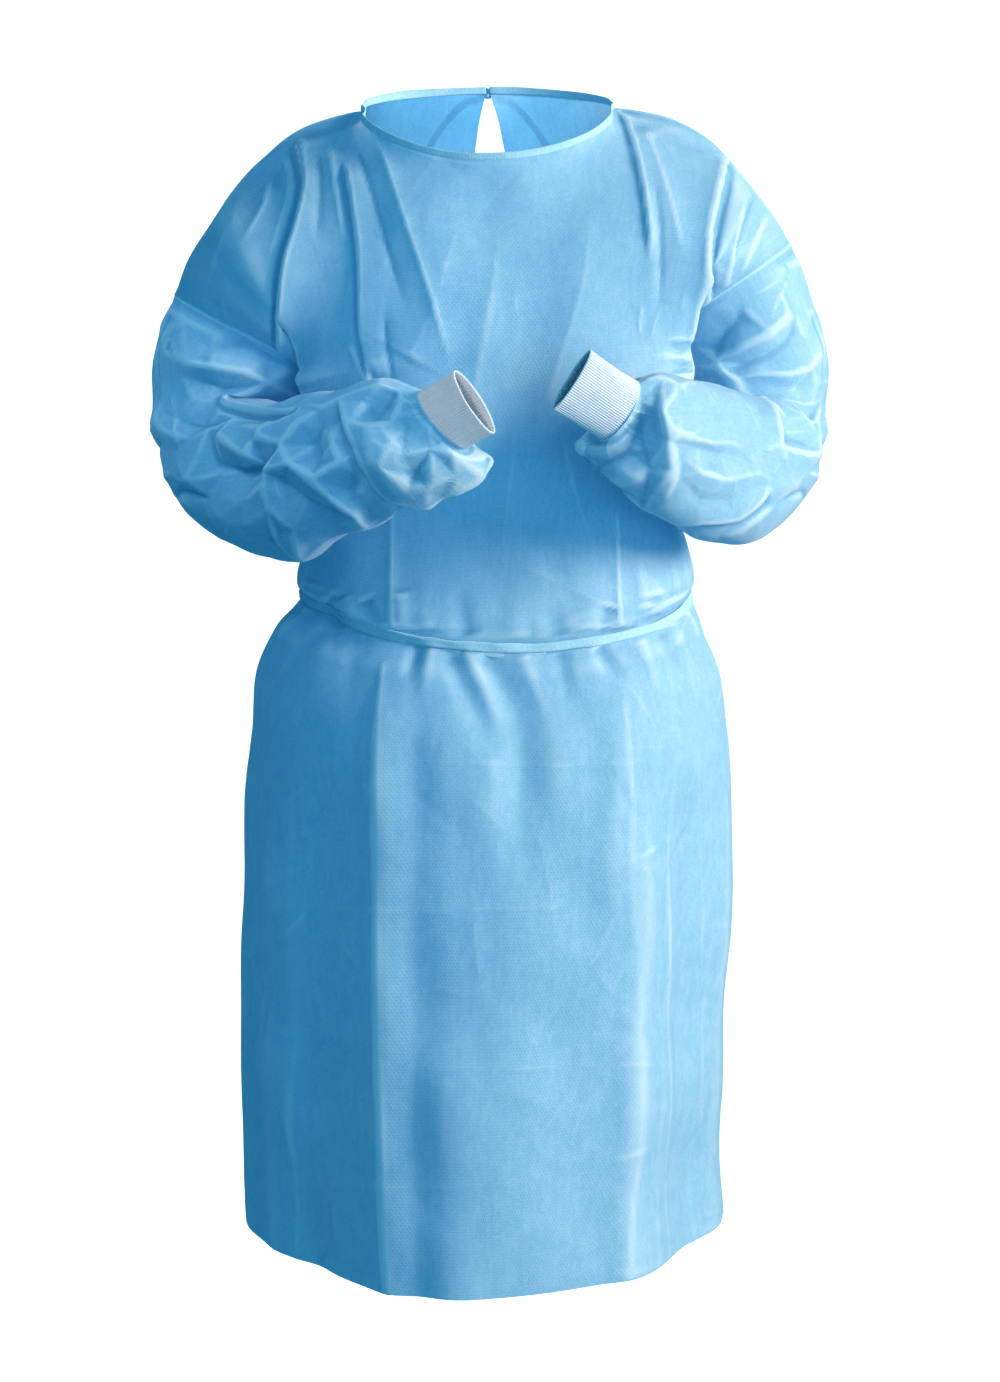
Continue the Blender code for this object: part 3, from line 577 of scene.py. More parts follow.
def ease_armhole(body, sleeve, inward, down):
    """The back half of an armhole: the cloth runs over the seam in one soft curve, and the seam lies in it."""
    last = body.shape[0] - 1 - FK
    new_body, new_sleeve = body.copy(), sleeve.copy()
    for b in range(1, last):
        k = AROUND - b
        v = b / last
        w = float(smooth(v, 0.02, 0.22)) * float(1.0 - smooth(v, 0.84, 1.0))
        path = np.concatenate([body[FK + b, -1 - inward:], sleeve[1:down + 1, k]])
        run = np.concatenate([[0.0], np.cumsum(np.linalg.norm(np.diff(path, axis=0), axis=1))])
        t = (run / run[-1])[:, None]
        long = np.linalg.norm(path[-1] - path[0])
        a = body[FK + b, -1 - inward] - body[FK + b, -5 - inward]
        z = sleeve[down + 4, k] - sleeve[down, k]
        a, z = a / np.linalg.norm(a) * long, z / np.linalg.norm(z) * long
        eased = ((2 * t**3 - 3 * t**2 + 1) * path[0] + (t**3 - 2 * t**2 + t) * a
                 + (3 * t**2 - 2 * t**3) * path[-1] + (t**3 - t**2) * z)
        path = (1.0 - w) * path + w * eased
        new_body[FK + b, -1 - inward:] = path[:inward + 1]
        new_sleeve[:down + 1, k] = path[inward:]
    return new_body, new_sleeve


BL, SL = ease_armhole(BL, SL, int(0.050 / 0.0030 / FINE), int(0.060 / 0.0026 / FINE))
BR, SR = ease_armhole(BR, SR, int(0.050 / 0.0030 / FINE), int(0.060 / 0.0026 / FINE))


def quad_table(rows, cols, loop):
    j, i = np.meshgrid(np.arange(rows - 1), np.arange(cols if loop else cols - 1), indexing="ij")
    i2 = (i + 1) % cols
    return np.stack([j * cols + i, j * cols + i2, (j + 1) * cols + i2, (j + 1) * cols + i], axis=-1).reshape(-1, 4)


def turned_in(grid, loop):
    """True where the grid's own facing runs into the garment."""
    q = quad_table(*grid.shape[:2], loop)
    p = grid.reshape(-1, 3)
    n = np.cross(p[q[:, 2]] - p[q[:, 0]], p[q[:, 3]] - p[q[:, 1]])
    if loop:
        centre = np.repeat(grid.mean(axis=1), grid.shape[1], axis=0)[q[:, 0]]
    else:
        centre = np.stack([0 * p[q[:, 0], 0], 0 * p[q[:, 0], 0], p[q[:, 0], 2]], axis=1)
    return float((n * (p[q[:, 0]] - centre)).sum()) < 0.0


def shared_normals(parts):
    """Unit normals, one for each place, shared by the parts that meet there. parts: (grid, loop, turned)."""
    flat = np.concatenate([g.reshape(-1, 3) for g, _, _ in parts])
    _, same = np.unique(np.round(flat, 5), axis=0, return_inverse=True)
    same = same.reshape(-1)
    total = np.zeros((same.max() + 1, 3))
    start = 0
    for g, loop, turned in parts:
        p = g.reshape(-1, 3)
        q = quad_table(*g.shape[:2], loop)
        n = np.cross(p[q[:, 2]] - p[q[:, 0]], p[q[:, 3]] - p[q[:, 1]])
        n /= np.linalg.norm(n, axis=1, keepdims=True) + 1e-15
        if turned:
            n = -n
        for k in range(4):
            np.add.at(total, same[start + q[:, k]], n)
        start += len(p)
    total /= np.linalg.norm(total, axis=1, keepdims=True) + 1e-15
    out, start = [], 0
    for g, _, _ in parts:
        out.append(total[same[start:start + g.shape[0] * g.shape[1]]].reshape(g.shape))
        start += g.shape[0] * g.shape[1]
    return out


PIECES = {
    "front": [F, False], "back_left": [BL, False], "back_right": [BR, False],
    "sleeve_left": [SL, True], "sleeve_right": [SR, True],
}
TURNED = {name: turned_in(g, loop) for name, (g, loop) in PIECES.items()}


def normals_of(grids):
    names = list(grids)
    made = shared_normals([(grids[n], PIECES[n][1], TURNED[n]) for n in names])
    return dict(zip(names, made))


# How far each place is from the seams of its own piece, in metres.
side_far = cols_at[-1] - cols_at
top_far = rows_at[-1] - rows_at
shoulder = smooth(cols_at, cols_at[FN] - 0.004, cols_at[FN] + 0.004)
half_far = np.minimum(side_far[None, :], top_far[:, None] + (1.0 - shoulder)[None, :])
SEAM_FAR = {
    "front": np.concatenate([half_far[:, ::-1], half_far[:, 1:]], axis=1),
    "back_left": half_far, "back_right": half_far,
    "sleeve_left": np.repeat(np.minimum(sl_at, sl_at[-1] - sl_at)[:, None], AROUND, axis=1),
    "sleeve_right": np.repeat(np.minimum(sr_at, sr_at[-1] - sr_at)[:, None], AROUND, axis=1),
}

# ---------------------------------------------------------------- creases
# Places of "photo" creases are frame pixels. Others are millimetres: "back" (x, z), "left" and
# "right" (y, z). Kinds: ridge and soft stand proud (negative height: a trough), pleat is a step
# that is raised on the side that its sign names (+1: to the right of a line that runs down the frame).
# piece, view, kind, width, height mm, side, fade in, fade out, places
CREASES = []


def crease(pieces, view, kind, width, height, places, fade=(0.3, 0.3), side=1):
    for piece in pieces.split():
        CREASES.append((piece, view, kind, width, height, side, fade, places))


def line_field(q, line):
    """Signed distance from a curved line, positive to the right of a line that runs down, and the share along it."""
    line = np.array(line, float)
    if len(line) > 2:
        line = along(line, np.linspace(0.0, 1.0, 4 * len(line)))
    best = np.full(len(q), 1e9)
    sign, share = np.ones(len(q)), np.zeros(len(q))
    lengths = np.linalg.norm(np.diff(line, axis=0), axis=1)
    total, start = lengths.sum(), 0.0
    for a, b, l in zip(line[:-1], line[1:], lengths):
        d = (b - a) / (l + 1e-12)
        rel = q - a
        t = np.clip(rel @ d, 0.0, l)
        off = rel - t[:, None] * d
        dist = np.hypot(off[:, 0], off[:, 1])
        closer = dist < best
        best = np.where(closer, dist, best)
        sign = np.where(closer, np.where(rel[:, 0] * d[1] - rel[:, 1] * d[0] >= 0, 1.0, -1.0), sign)
        share = np.where(closer, (start + t) / total, share)
        start += l
    return best * sign, share


def profile(kind, d, width, side):
    a = np.abs(d) / width
    if kind == "ridge":       # crisp crest with straight flanks
        return np.exp(-1.25 * np.sqrt(a * a + 0.004))
    if kind == "soft":
        return np.exp(-a * a)
    if kind == "hinge":       # two flat panels that meet along a pressed line
        return np.exp(-np.sqrt(a * a + 0.0006))
    if kind == "bank":        # the same, but the panel to the right falls away slowly
        a = np.where(d > 0, a / 2.2, a)
        return np.exp(-np.sqrt(a * a + 0.0006))
    if kind == "pleat":       # slow rise on one side, short fall over the crease line on the other
        up = d * side
        fall = 0.16 * width
        rise = np.exp(-np.maximum(up, 0.0) / width)
        return np.where(up > 0, rise, 1.0 - smooth(-up, 0.0, fall))
    if kind == "valley":      # narrow crisp trough
        return -np.exp(-2.2 * np.sqrt(a * a + 0.002))
    raise ValueError(kind)


def crease_heights(piece, p, n):
    """Heights in metres that the creases add over one piece."""
    flat, facing_n = p.reshape(-1, 3), n.reshape(-1, 3)
    to_cam = np.array([CAM_X, CAM_Y, CAM_Z]) - flat
    to_cam /= np.linalg.norm(to_cam, axis=1, keepdims=True)
    planes = {
        "photo": (pixel_of(flat), (facing_n * to_cam).sum(axis=1)),
        "back": (flat[:, [0, 2]] * 1000.0 * [1, -1], facing_n[:, 1]),
        "left": (flat[:, [1, 2]] * 1000.0 * [1, -1], facing_n[:, 0]),
        "right": (flat[:, [1, 2]] * 1000.0 * [1, -1], -facing_n[:, 0]),
    }
    total = np.zeros(len(flat))
    for who, view, kind, width, height, side, fade, places in CREASES:
        if who != piece:
            continue
        q, facing = planes[view]
        line = np.array(places, float)
        if view != "photo":
            line = line * [1, -1]
        lo, hi = line.min(axis=0) - 3.2 * width, line.max(axis=0) + 3.2 * width
        near = np.flatnonzero(np.all((q > lo) & (q < hi), axis=1) & (facing > 0.0))
        if not len(near):
            continue
        d, share = line_field(q[near], line)
        taper = np.ones(len(near))
        if fade[0] > 0:
            taper = taper * smooth(share, 0.0, fade[0])
        if fade[1] > 0:
            taper = taper * smooth(1.0 - share, 0.0, fade[1])
        cut = 1.0 - smooth(np.abs(d), 2.2 * width, 3.1 * width)
        total[near] += height * 0.001 * profile(kind, d, width, side) * taper * cut * smooth(facing[near], 0.02, 0.30)
    return total.reshape(p.shape[:2])


def crumple_heights(parts, seed, count, reach, size, tall):
    """Heights of many small straight creases strewn over all the cloth."""
    rng = np.random.default_rng(seed)
    flat = np.concatenate([g.reshape(-1, 3) for g in parts.values()])
    normal = np.concatenate([n.reshape(-1, 3) for n in NORMALS.values()])
    total = np.zeros(len(flat))
    picks = rng.integers(0, len(flat), count)
    for k in picks:
        c, n = flat[k], normal[k]
        t = rng.normal(size=3)
        t[2] *= 1.6
        t -= n * t.dot(n)
        t /= np.linalg.norm(t)
        half = rng.uniform(*reach) * 0.5
        w = rng.uniform(*size)
        h = rng.uniform(*tall) * rng.choice([-1.0, 1.0])
        near = np.flatnonzero(np.all(np.abs(flat - c) < half + 3 * w, axis=1))
        rel = flat[near] - c
        s = np.clip(rel @ t, -half, half)
        off = rel - s[:, None] * t
        d = np.linalg.norm(off, axis=1)
        taper = (1.0 - (np.abs(s) / half) ** 2) ** 1.0
        ok = (normal[near] @ n) > 0.3
        total[near] += ok * h * taper * np.exp(-1.3 * np.sqrt((d / w) ** 2 + 0.006)) * (1.0 - smooth(d, 2.0 * w, 3.0 * w))
    out, start = {}, 0
    for name, g in parts.items():
        m = g.shape[0] * g.shape[1]
        out[name] = total[start:start + m].reshape(g.shape[:2])
        start += m
    return out

# ---- front and shoulders, seen in the photograph
# Packing folds: long straight folds down the skirt and up the chest.
crease("front", "photo", "bank", 62, 5.4, [(383, 655), (381, 690), (379, 740), (378, 800), (379, 1000), (385, 1200), (390, 1300)], fade=(0.12, 0.0))
crease("front", "photo", "soft", 34, 4.4, [(437, 690), (436, 800), (436, 1000), (440, 1200), (443, 1290)], fade=(0.15, 0.0))
crease("front", "photo", "ridge", 5, 2.0, [(385, 655), (381, 690), (379, 740), (378, 800), (379, 1000), (385, 1200), (390, 1300)], fade=(0.03, 0.0))
crease("front", "photo", "soft", 48, 4.2, [(492, 700), (497, 830), (496, 940), (490, 1060), (484, 1180), (480, 1290)], fade=(0.15, 0.0))
crease("front", "photo", "hinge", 34, 3.0, [(393, 490), (392, 560), (393, 632)], fade=(0.2, 0.03))
crease("front", "photo", "ridge", 5, 2.2, [(393, 500), (392, 560), (393, 632)], fade=(0.1, 0.03))
crease("front", "photo", "hinge", 34, 2.4, [(616, 480), (617, 560), (619, 630)], fade=(0.3, 0.03))
crease("front", "photo", "ridge", 5, 1.4, [(616, 500), (617, 560), (619, 630)], fade=(0.2, 0.03))
crease("front", "photo", "hinge", 46, 2.4, [(622, 655), (627, 740), (632, 800), (630, 868), (638, 960), (640, 1061), (639, 1146), (631, 1214), (627, 1290)], fade=(0.1, 0.0))
crease("front", "photo", "ridge", 5, 0.3, [(622, 690), (627, 740), (632, 800), (629, 868)], fade=(0.15, 0.2))
crease("front", "photo", "ridge", 5, 0.6, [(660, 850), (665, 940), (666, 1020)], fade=(0.3, 0.4))
crease("front", "photo", "hinge", 26, 1.2, [(662, 830), (666, 940), (666, 1040)], fade=(0.3, 0.4))
crease("front", "photo", "ridge", 5, 0.2, [(640, 1040), (639, 1146), (631, 1214), (627, 1290)], fade=(0.2, 0.0))
crease("front", "photo", "soft", 60, -3.0, [(470, 780), (500, 960), (520, 1120)], fade=(0.4, 0.4))
crease("front", "photo", "soft", 40, -2.4, [(306, 760), (300, 980), (304, 1235)], fade=(0.3, 0.0))
crease("front", "photo", "hinge", 26, 1.6, [(262, 730), (256, 950), (262, 1222)], fade=(0.3, 0.0))
crease("front", "photo", "hinge", 26, 1.8, [(697, 700), (702, 900), (700, 1225)], fade=(0.3, 0.0))
crease("front", "photo", "soft", 26, -1.6, [(560, 980), (572, 1110), (580, 1290)], fade=(0.4, 0.0))
crease("front", "photo", "soft", 30, 1.4, [(455, 1010), (448, 1130), (452, 1297)], fade=(0.4, 0.0))
crease("front", "photo", "ridge", 14, 1.0, [(520, 780), (545, 860), (560, 960)], fade=(0.4, 0.4))
crease("front", "photo", "ridge", 12, 1.0, [(470, 860), (478, 960), (492, 1040)], fade=(0.4, 0.4))
crease("front", "photo", "hinge", 30, 1.3, [(440, 700), (434, 780), (440, 880)], fade=(0.3, 0.5))
crease("front", "photo", "hinge", 30, -1.4, [(330, 700), (322, 800), (326, 920)], fade=(0.3, 0.5))
# Level fold marks across the skirt, faint.
for level, from_x, to_x, h in ((905, 250, 620, 0.45), (1062, 330, 720, 0.40), (760, 400, 700, 0.40), (1180, 250, 560, 0.35)):
    crease("front", "photo", "ridge", 7, h, [(from_x, level), (0.5 * (from_x + to_x), level + 5), (to_x, level - 2)], fade=(0.3, 0.3))

# Gathers at the belt.
for places, w, h in (
    ([(322, 600), (333, 618), (352, 640)], 9, -3.4),
    ([(345, 596), (352, 616), (356, 630)], 8, 2.6),
    ([(366, 598), (376, 618), (392, 634)], 8, -3.6),
    ([(402, 590), (404, 622), (400, 645)], 9, 2.6),
    ([(422, 640), (415, 662), (408, 692)], 7, -3.2),
    ([(432, 640), (428, 672), (420, 720)], 9, 2.4),
    ([(446, 648), (466, 690), (500, 770)], 10, -3.4),
    ([(462, 640), (486, 690), (512, 760)], 9, 2.2),
    ([(484, 650), (505, 690), (530, 745)], 13, -4.6),
    ([(520, 650), (536, 686), (556, 735)], 10, 2.6),
    ([(560, 648), (566, 680), (576, 722)], 9, -2.2),
    ([(598, 645), (610, 664), (628, 690)], 8, -3.4),
    ([(610, 606), (604, 625), (598, 642)], 8, -2.8),
    ([(636, 634), (650, 668), (664, 720)], 9, 2.4),
    ([(660, 628), (676, 662), (690, 712)], 9, -2.6),
    ([(310, 608), (300, 640), (288, 690)], 10, -1.5),
    ([(330, 622), (322, 660), (310, 720)], 9, 1.2),
    ([(360, 632), (352, 668), (342, 720)], 9, -1.3),
    ([(676, 600), (668, 575), (664, 545)], 9, -2.6),
    ([(646, 612), (640, 585), (640, 550)], 9, 2.4),
    ([(560, 640), (552, 612), (548, 580)], 11, -2.4),
    ([(520, 642), (516, 610), (520, 570)], 12, 1.4),
    ([(470, 640), (462, 612), (462, 570)], 11, -2.6),
    ([(430, 632), (424, 604), (428, 560)], 10, 1.4),
    ([(312, 586), (318, 566), (330, 548)], 9, -2.4),
):
    crease("front", "photo", "soft", w, h, places, fade=(0.12, 0.75))

# Chest: drag lines from the shoulders and the neck.
crease("front", "photo", "pleat", 34, 6.0, [(346, 158), (354, 215), (359, 262), (361, 328), (372, 384)], fade=(0.12, 0.10), side=1)
crease("front", "photo", "valley", 6, 2.0, [(343, 165), (351, 215), (356, 262), (358, 328), (369, 384)], fade=(0.15, 0.15))
crease("front", "photo", "ridge", 7, 2.6, [(349, 340), (358, 362), (370, 386)], fade=(0.2, 0.1))
crease("front", "photo", "valley", 9, 3.0, [(360, 338), (366, 360), (378, 384)], fade=(0.2, 0.1))
crease("front", "photo", "valley", 8, 2.4, [(384, 300), (388, 340), (394, 384)], fade=(0.4, 0.1))
crease("front", "photo", "hinge", 22, 5.0, [(369, 115), (388, 165), (404, 214), (428, 284), (455, 372)], fade=(0.03, 0.25))
crease("front", "photo", "ridge", 4, 1.0, [(369, 115), (388, 165), (404, 214), (428, 284), (455, 372)], fade=(0.03, 0.3))
crease("front", "photo", "valley", 12, 3.0, [(352, 130), (372, 190), (392, 262), (412, 330)], fade=(0.2, 0.4))
crease("front", "photo", "ridge", 6, 2.2, [(331, 140), (337, 190), (346, 250)], fade=(0.2, 0.4))
crease("front", "photo", "valley", 9, 2.4, [(318, 150), (322, 190), (316, 250)], fade=(0.2, 0.4))
crease("front", "photo", "hinge", 26, 2.6, [(408, 360), (424, 330), (432, 300)], fade=(0.1, 0.5))
crease("front", "photo", "pleat", 30, 4.6, [(621, 104), (639, 168), (649, 232), (650, 268)], fade=(0.04, 0.25), side=1)
crease("front", "photo", "ridge", 5, 1.4, [(618, 106), (635, 168), (645, 232), (648, 268)], fade=(0.04, 0.3))
crease("front", "photo", "hinge", 16, 3.4, [(644, 128), (660, 172), (673, 213), (686, 268)], fade=(0.1, 0.3))
crease("front", "photo", "valley", 9, 2.6, [(652, 170), (660, 230), (660, 300), (650, 340)], fade=(0.3, 0.5))
crease("front", "photo", "ridge", 5, 1.2, [(662, 300), (656, 320), (650, 344)], fade=(0.3, 0.3))
crease("front", "photo", "ridge", 5, 1.2, [(644, 300), (640, 322), (642, 340)], fade=(0.3, 0.3))
crease("front", "photo", "soft", 13, -5.0, [(684, 338), (684, 358), (686, 376)], fade=(0.2, 0.1))
crease("front", "photo", "soft", 30, -3.2, [(560, 170), (540, 300), (512, 420), (486, 560)], fade=(0.3, 0.3))
crease("front", "photo", "hinge", 34, 3.6, [(505, 180), (492, 300), (470, 420), (452, 540)], fade=(0.3, 0.3))
crease("front", "photo", "hinge", 26, 2.6, [(592, 190), (584, 280), (560, 360), (540, 430)], fade=(0.3, 0.3))
crease("front", "photo", "ridge", 12, 1.8, [(560, 420), (572, 480), (596, 560)], fade=(0.3, 0.4))
crease("front", "photo", "ridge", 10, 1.6, [(470, 380), (478, 440), (470, 520)], fade=(0.3, 0.4))
crease("front", "photo", "soft", 16, -2.2, [(540, 520), (556, 570), (580, 620)], fade=(0.4, 0.2))
crease("front", "photo", "soft", 18, 1.8, [(330, 440), (336, 500), (345, 580)], fade=(0.3, 0.3))
crease("front", "photo", "hinge", 18, 2.2, [(520, 420), (508, 500), (500, 580)], fade=(0.3, 0.3))

# Shoulder pleats where the body folds over the upper arm.
crease("front", "photo", "pleat", 26, 8.0, [(297, 136), (304, 180), (296, 222), (285, 258), (279, 300), (279, 350), (286, 392)], fade=(0.06, 0.04), side=1)
crease("front", "photo", "valley", 8, 4.0, [(291, 142), (298, 182), (290, 222), (279, 260), (274, 300), (274, 350)], fade=(0.10, 0.1))
crease("front", "photo", "ridge", 5, 1.6, [(285, 150), (289, 186), (280, 224), (268, 262)], fade=(0.15, 0.3))
crease("front", "photo", "ridge", 6, 2.6, [(270, 172), (264, 206), (240, 252)], fade=(0.2, 0.5))
crease("front", "photo", "hinge", 14, 2.6, [(244, 200), (226, 240), (206, 292)], fade=(0.3, 0.4))
crease("front", "photo", "pleat", 24, 7.0, [(727, 154), (719, 195), (711, 230), (708, 300), (706, 364)], fade=(0.06, 0.04), side=-1)
crease("front", "photo", "ridge", 5, 0.8, [(724, 158), (715, 195), (707, 230), (704, 300), (703, 360)], fade=(0.06, 0.06))
crease("front", "photo", "valley", 7, 5.0, [(733, 168), (724, 206), (716, 246), (713, 310), (711, 356)], fade=(0.12, 0.05))
crease("front", "photo", "ridge", 6, 3.0, [(746, 200), (735, 246), (724, 292)], fade=(0.2, 0.1))
crease("front", "photo", "ridge", 7, 2.2, [(770, 208), (754, 244), (738, 282)], fade=(0.3, 0.3))
crease("front", "photo", "valley", 8, 2.8, [(757, 190), (744, 226), (731, 264)], fade=(0.3, 0.3))

# ---- sleeves, seen in the photograph: lines of ridges and troughs (frame x, y, height in mm) with flat facets between
FOLD_LINES = {
    "sleeve_right": [
        [(157, 352, 2), (166, 336, 4), (188, 362, 6), (214, 366, 8), (246, 372, 8), (264, 383, 6), (284, 409, 3)],
        [(217, 334, 1), (211, 348, 2), (204, 359, 4)],
        [(238, 330, -2), (250, 347, -3), (272, 357, -2)],
        [(170, 354, 3), (182, 374, 2), (194, 396, 1)],
        [(160, 402, 0), (176, 415, -2), (200, 420, -6), (228, 412, -7), (262, 411, -7), (284, 412, -5)],
        [(231, 419, 2), (221, 437, 6), (249, 455, 6), (257, 438, 7), (270, 424, 5), (298, 411, 3)],
        [(262, 428, 5), (254, 446, 1)],
        [(209, 442, -3), (211, 464, -6), (232, 469, -7), (262, 467, -5)],
        [(214, 472, -3), (216, 498, -1), (217, 516, 1)],
        [(318, 409, 1), (300, 422, 4), (284, 442, 6), (268, 470, 8), (266, 483, 6), (271, 505, 4), (279, 546, 2)],
        [(268, 470, 8), (297, 463, 9), (321, 472, 9), (342, 461, 6), (355, 453, 2)],
        [(297, 463, 9), (330, 492, 8), (360, 514, 7), (366, 525, 4)],
        [(374, 487, 3), (370, 505, 3), (366, 525, 4)],
        [(318, 425, -3), (308, 440, -6), (312, 455, -6), (318, 463, -1)],
        [(288, 500, 0), (296, 528, 2), (301, 554, 6)],
        [(332, 512, -1), (322, 536, -1)],
        [(300, 403, 1), (322, 407, 2), (340, 400, 3), (354, 394, 3), (380, 388, 3), (396, 390, 1)],
        [(338, 420, -2), (350, 448, -2.5), (369, 481, -2.5), (391, 507, -2)],
        [(345, 421, 6), (357, 446, 7), (376, 478, 7.5), (399, 502, 7), (424, 512, 7)],
        [(345, 421, 6), (358, 424, 5), (373, 425, 4), (391, 422, 2)],
        [(396, 392, -2), (383, 404, -6), (371, 418, -6)],
        [(402, 399, 3), (393, 414, 2), (392, 436, 3), (408, 449, 4)],
        [(416, 404, 1), (424, 424, 2.5), (432, 444, 3), (446, 460, 3), (464, 477, 3)],
        [(408, 470, 1.5), (428, 479, -0.5), (444, 474, 1)],
        [(378, 440, 6), (396, 447, 3), (412, 456, 4)],
        [(398, 458, 3), (404, 478, 4), (412, 500, 5)],
        [(154, 352, 3), (154, 388, -1), (157, 420, 4), (172, 450, -1), (187, 479, 3), (202, 498, -1), (217, 516, 3)],
        [(217, 516, 3), (240, 529, 0), (270, 543, -2), (301, 554, 6), (332, 541, -1), (362, 530, 3), (396, 514, 0)],
        [(157, 420, 4), (172, 434, 2), (186, 438, -1)],
        [(180, 300, 1), (186, 322, 3), (172, 345, 1)],
    ],
    "sleeve_left": [
        [(717, 350, -6), (726, 337, -5), (738, 321, -3), (744, 306, -1)],
        [(718, 361, 3), (740, 351, 5), (770, 334, 6), (790, 314, 3)],
        [(730, 374, -4), (746, 368, -8), (766, 360, -8), (790, 346, -7), (798, 330, -5), (797, 316, -1)],
        [(740, 379, 1), (760, 377, 4), (792, 376, 4), (812, 368, 2)],
        [(748, 385, -1), (772, 389, -3), (800, 385, -1)],
        [(694, 367, 2), (716, 366, 5), (738, 380, 8), (761, 397, 8), (772, 410, 9), (777, 425, 8), (780, 444, 6), (779, 458, 2)],
        [(786, 420, -7), (794, 433, -8), (808, 441, -5)],
        [(790, 408, 2), (806, 418, 4), (818, 419, 3)],
        [(754, 391, -2), (786, 399, 3), (812, 403, 2)],
        [(828, 345, 2), (826, 375, 0), (822, 400, 1), (815, 419, -4), (821, 452, 5), (811, 470, 0), (798, 487, 3), (778, 503, 1), (757, 519, 3), (741, 531, 2), (718, 538, 0), (694, 539, 1)],
        [(800, 448, 3), (821, 452, 5)],
        [(682, 385, 5), (690, 405, 0), (706, 411, -1), (727, 410, -1), (736, 395, 2)],
        [(700, 379, 1), (716, 378, 1)],
        [(643, 380, 3), (660, 377, 5), (676, 384, 5)],
        [(656, 384, 1), (657, 410, -2), (659, 432, -3), (660, 452, -1)],
        [(665, 412, 3), (671, 427, 4.5), (690, 436, 3.5), (712, 440, 2.5), (736, 444, 1.5), (752, 449, 0)],
        [(674, 438, 0), (700, 447, -1.5), (724, 450, -1.5), (748, 456, -0.5)],
        [(672, 454, 2), (672, 480, 4), (668, 502, 2)],
        [(682, 456, -1), (684, 480, -1), (690, 505, 1)],
        [(700, 470, 3), (730, 478, 5), (760, 474, 3)],
        [(700, 500, 0), (740, 492, 2), (775, 480, 1)],
        [(604, 496, 2), (622, 511, 5), (643, 519, 6), (672, 521, 6), (700, 522, 6), (738, 519, 6), (761, 503, 5), (770, 494, 2)],
        [(650, 527, -3), (680, 531, -4), (704, 530, -4), (738, 526, -4), (764, 508, -2)],
        [(590, 461, -2), (606, 460, -3), (632, 457, -2)],
        [(596, 450, 2), (608, 450, 3), (630, 448, 1)],
        [(626, 434, 3), (638, 416, 2.5), (646, 402, 1)],
        [(640, 440, -1.5), (646, 424, -2), (651, 408, -1)],
        [(608, 474, 2), (622, 480, 5), (648, 470, 2)],
        [(612, 490, 3), (640, 500, 1)],
    ],
}


def photo_vertex(grid, normal, x, y):
    """The row and column of a grid's nearest place to a pixel, on the side that faces the camera."""
    q = pixel_of(grid.reshape(-1, 3))
    off = np.hypot(q[:, 0] - x, q[:, 1] - y)
    off = off + np.where(normal.reshape(-1, 3)[:, 1] > 0.08, 1e3, 0.0)
    near = np.flatnonzero(off < off.min() + 2.5)
    k = near[np.argmin(grid.reshape(-1, 3)[near, 1])]
    return divmod(int(k), grid.shape[1])


